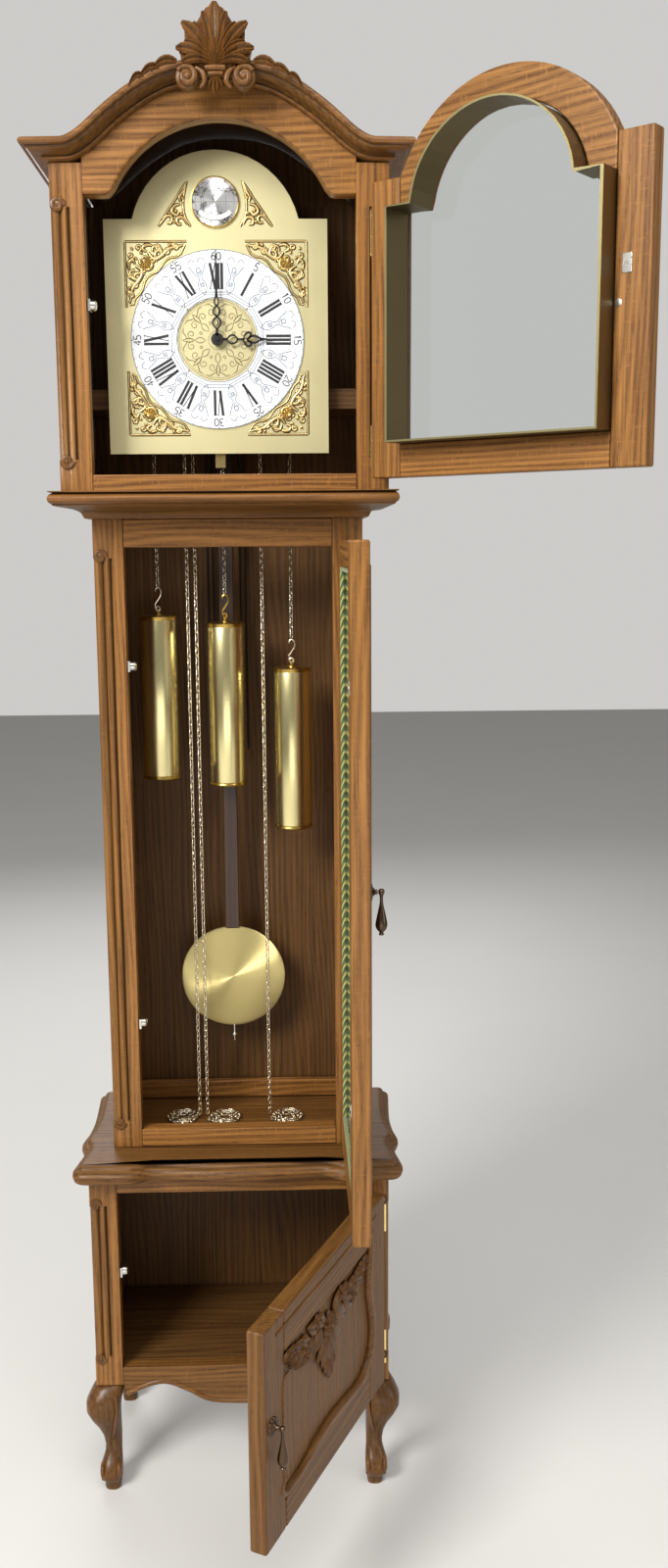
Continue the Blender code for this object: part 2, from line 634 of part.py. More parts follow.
def make_cornice():
    depth = CORNICE_DEPTH
    high = CORNICE_THICKNESS
    profile = [(-BOARD, 0.0), (0.006, 0.0), (0.009, 0.004), (0.015, 0.0065), (0.022, 0.010), (0.026, 0.0145),
               (depth, 0.0155), (depth, high - 0.001), (depth - 0.001, high), (-BOARD, high)]
    half = HOOD_HALF_WIDTH
    points = neck_points(half)
    up = Vector((0, 0, 1))
    stations = [((-half, CASE_BACK, CORNICE_END), (-1, 0, 0), up),
                ((-half, 0, CORNICE_END), (-1, -1, 0), up)]
    for before, here, after in zip(points, points[1:], points[2:]):
        along = Vector((after[0] - before[0], 0, after[1] - before[1])).normalized()
        stations.append(((here[0], 0, here[1]), (0, -1, 0), Vector((-along.z, 0, along.x))))
    stations.append(((half, 0, CORNICE_END), (1, -1, 0), up))
    stations.append(((half, CASE_BACK, CORNICE_END), (1, 0, 0), up))
    place(swept_moulding(profile, stations), "cornice", oak)


def make_finial():
    """Carved shell with a scroll at each side, standing on the crown of the cornice."""
    foot = FINIAL_TOP - 0.103
    right = [(0.000, foot + 0.008), (0.010, foot + 0.012), (0.022, foot + 0.012), (0.036, foot + 0.008),
             (0.049, foot + 0.016), (0.066, foot + 0.024), (0.050, foot + 0.032), (0.038, foot + 0.038),
             (0.020, foot + 0.036), (0.013, foot + 0.042), (0.026, foot + 0.050), (0.041, foot + 0.058),
             (0.040, foot + 0.068), (0.033, foot + 0.080), (0.022, foot + 0.088), (0.014, foot + 0.096)]
    outline = [*right, (0.0, FINIAL_TOP), *[(-x, z) for x, z in reversed(right[1:])]]
    carving = flat_board([outline], FINIAL_THICKNESS, middle=-CORNICE_DEPTH - GAP - FINIAL_THICKNESS / 2)
    place(rounded(carving, 0.003), "finial_carving", carved_oak)


# ---------------------------------------------------------------- dial and movement
def make_dial():
    x = MOVEMENT_X
    plate_outline = arched(x, DIAL_HALF_WIDTH, DIAL_BOTTOM, DIAL_SHOULDER, DIAL_ARCH_HALF, DIAL_ARCH_RISE)
    bore = arc((x, HANDS_Z), ARBOR_RADIUS + 0.002, 0, 345, 23)
    plate = flat_board([plate_outline, bore], DIAL_THICKNESS, middle=DIAL_FRONT + DIAL_THICKNESS / 2)
    place(plate, "dial_plate", dial_brass)
    ring_edge = arc((x, HANDS_Z), CHAPTER_RADIUS, 0, 352.5, 47)
    ring_hole = arc((x, HANDS_Z), CHAPTER_INNER, 0, 345, 23)
    ring = flat_board([ring_edge, ring_hole], RING_THICKNESS, middle=DIAL_FRONT - GAP - RING_THICKNESS / 2)
    place(ring, "chapter_ring", silvered)
    globe_y = DIAL_FRONT - GAP - GLOBE_THICKNESS / 2
    globe = cylinder((x, globe_y, GLOBE_Z), GLOBE_RADIUS, GLOBE_THICKNESS, "Y", 32)
    place(globe, "globe_disc", silvered)


def hand_outline(length, width, boss):
    """A serpentine-style hand as a flat outline along +Z from its pivot."""
    half = width / 2
    side = [(boss * 0.98, boss * 0.2), (half * 0.5, boss * 1.1), (half * 0.45, length * 0.42),
            (half, length * 0.50), (half * 1.5, length * 0.60), (half, length * 0.70),
            (half * 0.4, length * 0.76), (half * 0.9, length * 0.86), (half * 0.2, length * 0.93)]
    lower = arc((0, 0), boss, 180, 360, 8)
    return [*lower, *side, (0.0, length), *[(-u, v) for u, v in reversed(side)]]


def make_hands():
    x = MOVEMENT_X
    minute_axis = empty("minute_axis", (x, MINUTE_HAND_Y, HANDS_Z))
    minute = flat_board([hand_outline(MINUTE_HAND_LENGTH, 0.011, 0.008)], HAND_THICKNESS)
    reach = FRONT_PLATE_Y - GAP - MINUTE_HAND_Y
    stub = 0.002
    arbor = cylinder((0, (reach - stub) / 2, 0), ARBOR_RADIUS, reach + stub, "Y", 16)
    place(joined([as_mesh(arbor), minute]), "minute_hand", black, minute_axis)

    hour_axis = empty("hour_axis", (x, HOUR_HAND_Y, HANDS_Z))
    hour_axis.rotation_euler = (0, math.radians(90), 0)
    bore = arc((0, 0), ARBOR_RADIUS + 0.0007, 0, 337.5, 15)
    hour = flat_board([hand_outline(HOUR_HAND_LENGTH, 0.016, 0.009), bore], HAND_THICKNESS)
    place(hour, "hour_hand", black, hour_axis)


def empty(name, location):
    marker = bpy.data.objects.new(name, None)
    marker.location = location
    marker.empty_display_size = 0.03
    parts.objects.link(marker)
    return marker


def make_movement():
    x = MOVEMENT_X
    inside = HOOD_HALF_WIDTH - WALL - GAP
    seat_back = CASE_BACK - BACK_WALL - GAP
    slot = rectangle(x - PLATE_HALF_WIDTH, x + PLATE_HALF_WIDTH, SEAT_FRONT + 0.008, PENDULUM_Y + 0.017)
    board = rectangle(-inside, inside, SEAT_FRONT, seat_back)
    seat = flat_board([board, slot], SEAT_THICKNESS, "XY", SEAT_BOTTOM + SEAT_THICKNESS / 2)
    place(seat, "seat_board", plywood)

    low = SEAT_TOP + GAP
    high = low + PLATE_HEIGHT
    wide = PLATE_HALF_WIDTH
    standing = wide + PLATE_EAR
    front = box((x - standing, FRONT_PLATE_Y, low), (x + standing, FRONT_PLATE_Y + PLATE_THICKNESS, high))
    back = box((x - wide, BACK_PLATE_Y, low), (x + wide, BACK_PLATE_Y + PLATE_THICKNESS, high))
    pieces = [front, back]
    middle_y = (FRONT_PLATE_Y + BACK_PLATE_Y + PLATE_THICKNESS) / 2
    for sx in (-1, 1):
        for z in (low + 0.008, high - 0.010):
            pillar = cylinder((x + sx * (wide - 0.0065), middle_y, z), PILLAR_RADIUS, PLATE_SPACING, "Y", 12)
            pieces.append(as_mesh(pillar))
    lug_low = DIAL_BOTTOM - 0.016
    lug = box((x - 0.0075, FRONT_PLATE_Y - 0.002, lug_low), (x + 0.0055, FRONT_PLATE_Y + 0.0005, low + 0.01))
    bridge_top = PENDULUM_PIVOT_Z + 0.012
    bridge = box((x - 0.009, BACK_PLATE_Y + 0.0005, PENDULUM_PIVOT_Z),
                 (x + 0.009, PENDULUM_Y + 0.007, bridge_top))
    place(joined([*pieces, lug, bridge]), "movement_frame", brass)


def make_chime_rods():
    x = MOVEMENT_X
    block_top = GONG_BLOCK_Z + 0.026
    block = box((x - GONG_BLOCK_HALF, GONG_Y - 0.010, GONG_BLOCK_Z),
                (x + GONG_BLOCK_HALF, CASE_BACK - BACK_WALL - GAP, block_top))
    rods = [block]
    root = 0.004
    for offset in GONG_ROD_OFFSETS:
        middle_z = GONG_BLOCK_Z + root - (GONG_ROD_LENGTH + root) / 2
        rod = cylinder((x + offset, GONG_Y, middle_z), GONG_ROD_RADIUS, GONG_ROD_LENGTH + root, "Z", 8)
        rods.append(as_mesh(rod))
    place(joined(rods), "chime_rods", black)


def coil_points(foot_x, turn, floor):
    """The spare chain on the trunk floor: flat turns from the hanging chain's foot inwards."""
    centre = foot_x + turn * COIL_OUTER
    steps = 12 * COIL_TURNS
    points = []
    for i in range(1, steps + 1):
        share = i / steps
        radius = COIL_OUTER + (COIL_INNER - COIL_OUTER) * share
        angle = turn * share * COIL_TURNS * 2 * math.pi
        points.append((centre - turn * radius * math.cos(angle), CHAIN_Y - radius * math.sin(angle), floor))
    return points


def make_chain_wheel(name, centre, pitch):
    """A grooved wheel on its axle; pitch is the radius at the middle of its chain."""
    rim = pitch + WHEEL_RIM
    groove = pitch - CHAIN_RADIUS - 0.0012
    axle = WHEEL_AXLE_RADIUS
    profile = [(axle, 0.013), (axle, 0.0060), (rim, 0.0060), (rim, 0.0045), (groove, 0.0030),
               (groove, -0.0030), (rim, -0.0045), (rim, -0.0060), (axle, -0.0060), (axle, -0.013)]
    nudge = 0.003
    marker = empty(f"{name}_wheel_axis", (centre, CHAIN_Y + nudge, WHEEL_Z))
    place(turned(profile, (0, -nudge, 0), "Y"), f"chain_wheel_{name}", brass, marker)


def make_weight(name, x, top):
    """A capped shell with its hook, on a marker that slides up and down."""
    slide = empty(f"{name}_weight_slide", (x, CHAIN_Y, top))
    shell = WEIGHT_RADIUS
    cap = shell + 0.0008
    foot = -WEIGHT_LENGTH
    profile = [(0.0022, WEIGHT_HOOK), (0.0022, 0.004), (0.010, 0.0035), (cap - 0.002, 0.0), (cap, -0.001),
               (cap, -0.006), (shell, -0.0065), (shell, foot + 0.0065), (cap, foot + 0.006),
               (cap, foot + 0.001), (cap - 0.002, foot), (0.006, foot - 0.0005), (0.005, foot - 0.004)]
    place(turned(profile, (0, 0, 0), "Z", 28), f"weight_{name}", brass, slide)


def make_chains_and_weights():
    floor = TRUNK_BOTTOM + CHAIN_RADIUS + 2 * GAP
    for name, (weight_side, free_side, drop) in CHAINS.items():
        wx = MOVEMENT_X + weight_side
        fx = MOVEMENT_X + free_side
        top = WHEEL_Z - drop
        make_chain_wheel(name, (wx + fx) / 2, abs(wx - fx) / 2)
        make_weight(name, wx, top)
        chain = tube([(wx, CHAIN_Y, top + WEIGHT_HOOK + GAP), (wx, CHAIN_Y, WHEEL_Z)], CHAIN_RADIUS)
        place(chain, f"weight_chain_{name}", steel)

        turn = -1 if name == "left" else 1
        bend = [(fx, CHAIN_Y, WHEEL_Z), (fx, CHAIN_Y, floor + 0.020), (fx, CHAIN_Y, floor + 0.006),
                (fx, CHAIN_Y - 0.001, floor + 0.001)]
        free = tube(bend + coil_points(fx, turn, floor), CHAIN_RADIUS)
        place(free, f"free_chain_{name}", steel)


def make_pendulum():
    pivot = empty("pendulum_pivot", (MOVEMENT_X, PENDULUM_Y, PENDULUM_PIVOT_Z))
    half = ROD_WIDTH / 2
    thick = ROD_THICKNESS / 2
    top = ROD_TOP_Z - PENDULUM_PIVOT_Z
    bob = BOB_Z - PENDULUM_PIVOT_Z
    tip = PENDULUM_TIP_Z - PENDULUM_PIVOT_Z
    bottom = bob + 0.030
    sunk = 0.004
    wood = box((-half, -thick, bottom), (half, thick, top))
    spring = box((-0.004, -0.0006, top - sunk), (0.004, 0.0006, -GAP))
    length = bottom + sunk - tip
    thread = as_mesh(cylinder((0, 0, tip + length / 2), 0.0022, length, "Z", 12))
    nut = as_mesh(cylinder((0, 0, tip + 0.012), 0.0065, 0.008, "Z", 16))
    place(joined([wood, spring, thread, nut]), "pendulum_rod", dark_wood, pivot)

    front = BOB_THICKNESS / 2
    dish = [(0.020, front + 0.001), (0.045, front - 0.001), (BOB_RADIUS - 0.004, front - 0.004),
            (BOB_RADIUS, front - 0.006), (BOB_RADIUS, 0.0)]
    place(turned(dish, (0, -thick - 0.0007, bob), "Y", 48), "pendulum_bob", brass, pivot)


# ---------------------------------------------------------------- doors and fittings
def hinge(name, x, front, middle_z):
    """Fixed half of a door hinge: a barrel on a leaf that is screwed to the face frame."""
    pin_y = front - PIN_FORWARD
    seat_y = front - GAP
    half = HINGE_LENGTH / 2 - 0.001
    low = middle_z - half
    high = middle_z + half
    knuckle = 0.0008
    barrel = as_mesh(cylinder((x, pin_y, middle_z), BARREL_RADIUS, HINGE_LENGTH, "Z", 16))
    web = box((x - knuckle, pin_y, low), (x + knuckle, seat_y, high))
    leaf = box((x - knuckle, seat_y - LEAF_THICKNESS, low), (x + LEAF_WIDTH, seat_y, high))
    place(joined([barrel, web, leaf]), name, brass)


def hinge_pair(section, x, front, heights):
    for where, z in zip(("lower", "upper"), heights):
        hinge(f"{section}_hinge_{where}", x, front, z)


def door_pivot(name, x, front, angle):
    """Marker on the hinge pins; its children are built shut and it holds them open."""
    pivot = empty(name, (x, front - PIN_FORWARD, 0))
    pivot.rotation_euler = (0, 0, math.radians(angle))
    return pivot


def door_faces():
    """y of a door's inner and outer faces, measured from its hinge pins when it is shut."""
    inner = PIN_FORWARD - DOOR_GAP
    return inner, inner - BOARD


def mirrored(loop):
    """The door is drawn with its width along +X from the pins and then turned to run along -X."""
    return [(-u, v) for u, v in loop]


def make_hood_door():
    inner, outer = door_faces()
    pivot = door_pivot("hood_door_pins", HOOD_DOOR_HINGE_X, 0.0, HOOD_DOOR_OPEN)
    middle = PIN_SETBACK + HOOD_DOOR_WIDTH / 2
    rim = arched(middle, HOOD_DOOR_WIDTH / 2, HOOD_DOOR_BOTTOM, HOOD_DOOR_SHOULDER,
                 HOOD_DOOR_ARCH_HALF, HOOD_DOOR_ARCH_RISE, 24)

    def sight(grow):
        return arched(middle, HOOD_SIGHT_HALF + grow, HOOD_SIGHT_BOTTOM - grow, HOOD_SIGHT_SHOULDER + grow,
                      HOOD_SIGHT_ARCH + grow, HOOD_SIGHT_RISE, 20)

    metal = LINER_THICKNESS
    frame = flat_board([mirrored(rim), mirrored(sight(metal + GAP))], BOARD, middle=(inner + outer) / 2)
    place(frame, "hood_door_frame", oak, pivot)
    pane_back = inner - HOOD_GLASS_DEPTH
    liner_back = inner + LINER_DEPTH
    liner = flat_board([mirrored(sight(metal)), mirrored(sight(0.0))], liner_back - pane_back - GAP,
                       middle=(liner_back + pane_back + GAP) / 2)
    place(liner, "hood_door_liner", aged_brass, pivot)
    pane = flat_board([mirrored(sight(metal))], GLASS, middle=pane_back - GLASS / 2)
    place(pane, "hood_door_glass", glass, pivot)
    hinge_pair("hood", HOOD_DOOR_HINGE_X, 0.0, HOOD_HINGE_HEIGHTS)


def make_trunk_door():
    inner, outer = door_faces()
    pivot = door_pivot("trunk_door_pins", TRUNK_DOOR_HINGE_X, TRUNK_FRONT, TRUNK_DOOR_OPEN)
    left = PIN_SETBACK
    right = PIN_SETBACK + TRUNK_DOOR_WIDTH
    rim = rectangle(left, right, TRUNK_DOOR_BOTTOM, TRUNK_DOOR_TOP)
    sight = rectangle(left + TRUNK_DOOR_STILE, right - TRUNK_DOOR_STILE, TRUNK_SIGHT_BOTTOM, TRUNK_SIGHT_TOP)
    frame = flat_board([mirrored(rim), mirrored(sight)], BOARD, middle=(inner + outer) / 2)
    place(frame, "trunk_door_frame", oak, pivot)
    pane_back = inner - TRUNK_GLASS_DEPTH
    pane = box((-right + TRUNK_DOOR_STILE + GAP, pane_back - GLASS, TRUNK_SIGHT_BOTTOM + GAP),
               (-left - TRUNK_DOOR_STILE - GAP, pane_back, TRUNK_SIGHT_TOP - GAP))
    place(pane, "trunk_door_glass", glass, pivot)
    drop_pull("trunk_door", pivot, -(right - TRUNK_DOOR_STILE / 2), outer, TRUNK_DROP_Z)
    hinge_pair("trunk", TRUNK_DOOR_HINGE_X, TRUNK_FRONT, TRUNK_HINGE_HEIGHTS)


def make_base_door():
    inner, outer = door_faces()
    pivot = door_pivot("base_door_pins", BASE_DOOR_HINGE_X, BASE_FRONT, BASE_DOOR_OPEN)
    left = PIN_SETBACK
    right = PIN_SETBACK + BASE_DOOR_WIDTH
    rim = rectangle(left, right, BASE_DOOR_BOTTOM, BASE_DOOR_TOP)
    stile = BASE_DOOR_STILE
    field = rectangle(left + stile, right - stile, BASE_DOOR_BOTTOM + stile, BASE_DOOR_TOP - stile)
    frame = flat_board([mirrored(rim), mirrored(field)], BOARD, middle=(inner + outer) / 2)
    place(frame, "base_door_frame", oak, pivot)
    panel = box((-right + stile + GAP, outer + PANEL_FRONT_DEPTH, BASE_DOOR_BOTTOM + stile + GAP),
                (-left - stile - GAP, inner - PANEL_BACK_DEPTH, BASE_DOOR_TOP - stile - GAP))
    place(panel, "base_door_panel", carved_oak, pivot)
    drop_pull("base_door", pivot, -(right - BASE_DROP_INSET), outer, BASE_DROP_Z)
    hinge_pair("base", BASE_DOOR_HINGE_X, BASE_FRONT, BASE_HINGE_HEIGHTS)


def drop_pull(door, pivot, x, face_y, z):
    """A turned rosette with a teardrop handle that swings on it."""
    rose = [(0.0030, 0.0085), (0.0040, 0.0050), (0.0095, 0.0030), (0.0110, 0.0012), (0.0110, 0.0)]
    rosette = turned(rose, (x, face_y - GAP, z), "Y", 20)
    place(rosette, f"{door}_rosette", bronze, pivot)
    swing = empty(f"{door}_drop_pin", (x, face_y - GAP - DROP_STEM, z))
    swing.parent = pivot
    length = DROP_LENGTH
    teardrop = [(0.0014, 0.0036), (0.0030, 0.0022), (0.0036, 0.0), (0.0026, -0.0040), (0.0018, -0.0100),
                (0.0030, -0.0170),
                (0.0052, -0.0290), (0.0068, -0.0370), (0.0056, -0.0430), (0.0026, -length + 0.0030),
                (0.0030, -length)]
    place(turned(teardrop, (0, 0, 0), "Z", 16), f"{door}_drop", bronze, swing)


def make_catches():
    """Magnetic catches on the left edge of each opening."""
    reach = CATCH_LENGTH / 2
    for name, (half, front, z) in CATCHES.items():
        body = box((-half + GAP, front + 0.004, z - reach), (-half + 0.012, front + 0.020, z + reach))
        place(rounded(body, 0.002), name, steel)


make_base()
make_trunk()
make_waist()
make_hood()
make_dial()
make_hands()
make_movement()
make_chime_rods()
make_chains_and_weights()
make_pendulum()
make_hood_door()
make_trunk_door()
make_base_door()
make_catches()

# ---------------------------------------------------------------- origin: middle of the clock's footprint
bpy.context.view_layer.update()
depsgraph = bpy.context.evaluated_depsgraph_get()
corners = []
for obj in parts.objects:
    if obj.type == "MESH":
        mesh = obj.evaluated_get(depsgraph).to_mesh()
        corners.extend(obj.matrix_world @ v.co for v in mesh.vertices)
        obj.evaluated_get(depsgraph).to_mesh_clear()
low = Vector([min(c[i] for c in corners) for i in range(3)])
high = Vector([max(c[i] for c in corners) for i in range(3)])
shift = Vector((-(low.x + high.x) / 2, -(low.y + high.y) / 2, -low.z))
for obj in parts.objects:
    if obj.parent is None:
        obj.location = obj.location + shift
bpy.context.view_layer.update()
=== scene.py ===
import json
import math

import bmesh
import bpy
from mathutils import Matrix, Vector

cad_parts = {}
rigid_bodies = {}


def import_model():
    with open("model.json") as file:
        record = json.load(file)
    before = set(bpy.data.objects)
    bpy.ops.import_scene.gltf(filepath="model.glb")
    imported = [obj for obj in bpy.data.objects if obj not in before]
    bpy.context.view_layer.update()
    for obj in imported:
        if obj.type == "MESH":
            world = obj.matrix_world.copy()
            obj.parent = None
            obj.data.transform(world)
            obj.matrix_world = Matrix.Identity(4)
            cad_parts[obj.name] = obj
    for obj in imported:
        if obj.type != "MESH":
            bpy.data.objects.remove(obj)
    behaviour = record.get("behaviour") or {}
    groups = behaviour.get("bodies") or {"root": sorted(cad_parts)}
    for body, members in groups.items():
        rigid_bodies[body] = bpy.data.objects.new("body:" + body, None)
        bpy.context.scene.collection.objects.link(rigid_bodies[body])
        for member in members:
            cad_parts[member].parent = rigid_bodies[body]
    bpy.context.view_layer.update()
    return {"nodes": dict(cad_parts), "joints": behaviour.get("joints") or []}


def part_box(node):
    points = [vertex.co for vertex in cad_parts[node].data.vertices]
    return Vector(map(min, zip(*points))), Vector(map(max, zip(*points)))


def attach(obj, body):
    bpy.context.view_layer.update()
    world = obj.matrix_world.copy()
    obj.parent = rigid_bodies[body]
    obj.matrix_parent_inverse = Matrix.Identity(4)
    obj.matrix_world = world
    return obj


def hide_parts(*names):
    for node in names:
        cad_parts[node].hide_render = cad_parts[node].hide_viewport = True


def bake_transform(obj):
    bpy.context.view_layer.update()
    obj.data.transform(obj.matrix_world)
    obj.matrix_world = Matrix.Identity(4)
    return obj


# a longcase clock with its three doors open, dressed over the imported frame
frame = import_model()
nodes = frame["nodes"]
joints = {joint["name"]: joint for joint in frame["joints"]}
print("frame loaded:", len(nodes), "nodes")

for thing in list(bpy.data.objects):
    if thing.type in ("CAMERA", "LIGHT"):
        bpy.data.objects.remove(thing, do_unlink=True)


def localBox(name, matrix):
    inverse = matrix.inverted()
    corners = [inverse @ vertex.co for vertex in nodes[name].data.vertices]
    low = Vector([min(corner[i] for corner in corners) for i in range(3)])
    high = Vector([max(corner[i] for corner in corners) for i in range(3)])
    return low, high


def doorMatrix(jointName):
    joint = joints[jointName]
    opened = math.radians(-joint["range_deg"][0])
    return Matrix.Translation(Vector(joint["pos_m"])) @ Matrix.Rotation(opened, 4, "Z")


# pieces of the case are drawn around the case's own middle, with y = 0 at the front of the hood
hoodLow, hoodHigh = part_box("hood_front_frame")
caseMatrix = Matrix.Translation(Vector(((hoodLow.x + hoodHigh.x) / 2, hoodLow.y, 0.0)))
hoodDoorMatrix = doorMatrix("hood_door")
trunkDoorMatrix = doorMatrix("trunk_door")
baseDoorMatrix = doorMatrix("base_door")


def heading(points, i):
    # the direction in which a run of points passes one of them
    after = Vector(points[min(i + 1, len(points) - 1)])
    return (after - Vector(points[max(i - 1, 0)])).normalized()


# A Shape gathers closed bodies and becomes one object.


class Shape:
    def __init__(self):
        self.points = []
        self.faces = []

    def loft(self, rings, closed=False):
        # skin through rings of equal length; ends are capped unless the rings close on themselves
        start = len(self.points)
        count = len(rings[0])
        for ring in rings:
            self.points.extend(tuple(point) for point in ring)
        spans = len(rings) if closed else len(rings) - 1
        for i in range(spans):
            a = start + i * count
            b = start + ((i + 1) % len(rings)) * count
            for k in range(count):
                n = (k + 1) % count
                self.faces.append((a + k, a + n, b + n, b + k))
        if not closed:
            last = start + (len(rings) - 1) * count
            self.faces.append(tuple(start + k for k in reversed(range(count))))
            self.faces.append(tuple(last + k for k in range(count)))
        return self

    def block(self, low, high):
        ring = [(low[0], low[1]), (high[0], low[1]), (high[0], high[1]), (low[0], high[1])]
        return self.loft([[(x, y, z) for x, y in ring] for z in (low[2], high[2])])

    def slab(self, outline, front, back):
        # an outline of (x, z) points, thick from front to back along y
        return self.loft([[(x, y, z) for x, z in outline] for y in (front, back)])

    def turned(self, profile, centre, axis="Z", steps=32):
        # profile is (radius, height) pairs; height runs up for Z and to the front for Y
        rings = []
        for radius, height in profile:
            ring = []
            for k in range(steps):
                angle = 2 * math.pi * k / steps
                u = max(radius, 1e-5) * math.cos(angle)
                v = max(radius, 1e-5) * math.sin(angle)
                offset = {"Z": (u, v, height), "Y": (u, -height, v), "X": (height, u, v)}[axis]
                ring.append(tuple(Vector(centre) + Vector(offset)))
            rings.append(ring)
        return self.loft(rings)

    def tube(self, path, radii, sides=8, flat=1.0, facing=None, closed=False):
        # a round or flattened rod along a path; radii is one value or one for each point
        path = [Vector(point) for point in path]
        if not isinstance(radii, (list, tuple)):
            radii = [radii] * len(path)
        normal = Vector(facing) if facing else Vector((0.3, 0.2, 1.0))
        rings = []
        for i, point in enumerate(path):
            before = path[i - 1] if (i > 0 or closed) else point
            after = path[(i + 1) % len(path)] if (i < len(path) - 1 or closed) else point
            along = (after - before).normalized()
            if facing is None:
                normal = (normal - along * normal.dot(along)).normalized()
                across = normal
            else:
                across = Vector(facing)
            side = along.cross(across).normalized()
            ring = []
            for k in range(sides):
                angle = 2 * math.pi * k / sides
                ring.append(point + side * radii[i] * math.cos(angle)
                            + across * radii[i] * flat * math.sin(angle))
            rings.append(ring)
        return self.loft(rings, closed=closed)

    def leaf(self, spine, widths, height, facing, groove=0.45):
        # a carved blade on a surface: spine points, half widths, ridge height, outward direction
        spine = [Vector(point) for point in spine]
        outward = Vector(facing)
        rings = []
        for i, point in enumerate(spine):
            side = heading(spine, i).cross(outward).normalized()
            half = widths[i]
            lift = height * math.sqrt(min(1.0, half / max(widths)))
            section = ((-1.0, 0.0), (-0.85, 0.45), (-0.5, 0.95), (-0.12, groove + 0.1), (0.0, groove),
                       (0.12, groove + 0.1), (0.5, 0.95), (0.85, 0.45), (1.0, 0.0), (0.0, -0.35))
            rings.append([point + side * half * u + outward * lift * v for u, v in section])
        return self.loft(rings)

    def moulding(self, profile, stations, closed=False):
        # a profile of (out, up) points carried through stations of (origin, out, up)
        rings = []
        for origin, out, up in stations:
            rings.append([Vector(origin) + Vector(out) * u + Vector(up) * v for u, v in profile])
        return self.loft(rings, closed=closed)


def arc(centre, radius, start, end, steps):
    angles = [math.radians(start + (end - start) * i / steps) for i in range(steps + 1)]
    return [(centre[0] + radius * math.cos(a), centre[1] + radius * math.sin(a)) for a in angles]


def smooth(points, steps=6):
    # a curve through points of any dimension, both ends included
    out = []
    count = len(points)
    for i in range(count - 1):
        p0, p1, p2, p3 = (Vector(points[min(max(i + k, 0), count - 1)]) for k in (-1, 0, 1, 2))
        for k in range(steps):
            t = k / steps
            out.append(tuple(0.5 * (2 * p1 + (p2 - p0) * t + (2 * p0 - 5 * p1 + 4 * p2 - p3) * t * t
                + (3 * p1 - p0 - 3 * p2 + p3) * t ** 3)))
    out.append(tuple(points[-1]))
    return out


def spiral(centre, outer, inner, start, turns, steps=40):
    # points of a volute in a plane, from its outer end inwards; angles in degrees
    points = []
    for i in range(steps + 1):
        share = i / steps
        radius = outer + (inner - outer) * share ** 0.85
        angle = math.radians(start + 360 * turns * share)
        points.append((centre[0] + radius * math.cos(angle), centre[1] + radius * math.sin(angle)))
    return points


def onFace(points, y):
    return [(x, y, z) for x, z in points]


def taper(count, start, middle, end):
    # half widths or radii that swell in the middle of a run of points
    values = []
    for i in range(count):
        share = i / (count - 1)
        ends = start + (end - start) * share
        values.append(ends + (middle - (start + end) / 2) * math.sin(math.pi * share))
    return [max(value, 0.0002) for value in values]


def feed(tree, socket, value):
    # a link where another socket is given, otherwise a constant
    if isinstance(value, bpy.types.NodeSocket):
        tree.links.new(value, socket)
    elif socket.type == "RGBA" and len(value) == 3:
        socket.default_value = (*value, 1.0)
    else:
        socket.default_value = value


def addNode(tree, kind, inputs=None, **settings):
    made = tree.nodes.new(kind)
    for key, value in settings.items():
        setattr(made, key, value)
    for key, value in (inputs or {}).items():
        feed(tree, made.inputs[key], value)
    return made


def newGroup(name, inputs, outputs):
    group = bpy.data.node_groups.new(name, "ShaderNodeTree")
    for label, kind, value in inputs:
        socket = group.interface.new_socket(name=label, in_out="INPUT", socket_type="NodeSocket" + kind)
        if value is not None:
            socket.default_value = value
    for label, kind in outputs:
        group.interface.new_socket(name=label, in_out="OUTPUT", socket_type="NodeSocket" + kind)
    return group, group.nodes.new("NodeGroupInput"), group.nodes.new("NodeGroupOutput")


def ramp(tree, factor, stops):
    made = addNode(tree, "ShaderNodeValToRGB", {"Fac": factor})
    elements = made.color_ramp.elements
    while len(elements) < len(stops):
        elements.new(0.5)
    for element, (place, value) in zip(elements, stops):
        element.position = place
        element.color = (*value, 1.0) if isinstance(value, tuple) else (value, value, value, 1.0)
    return made.outputs["Color"]


def mixed(tree, factor, first, second, blend="MIX"):
    made = addNode(tree, "ShaderNodeMix", data_type="RGBA", blend_type=blend)
    for index, value in ((0, factor), (6, first), (7, second)):
        feed(tree, made.inputs[index], value)
    return made.outputs[2]


def sums(tree, operation, first, second=0.0):
    return addNode(tree, "ShaderNodeMath", {0: first, 1: second}, operation=operation).outputs[0]


def plus(tree, first, second):
    return sums(tree, "ADD", first, second)


def times(tree, first, second):
    return sums(tree, "MULTIPLY", first, second)


def noise(tree, vector, scale, stretch=(1, 1, 1), detail=3.0, rough=0.55):
    mapped = addNode(tree, "ShaderNodeMapping", {"Vector": vector, "Scale": stretch})
    made = addNode(tree, "ShaderNodeTexNoise", {"Vector": mapped.outputs[0], "Scale": scale,
        "Detail": detail, "Roughness": rough})
    return made.outputs["Fac"]


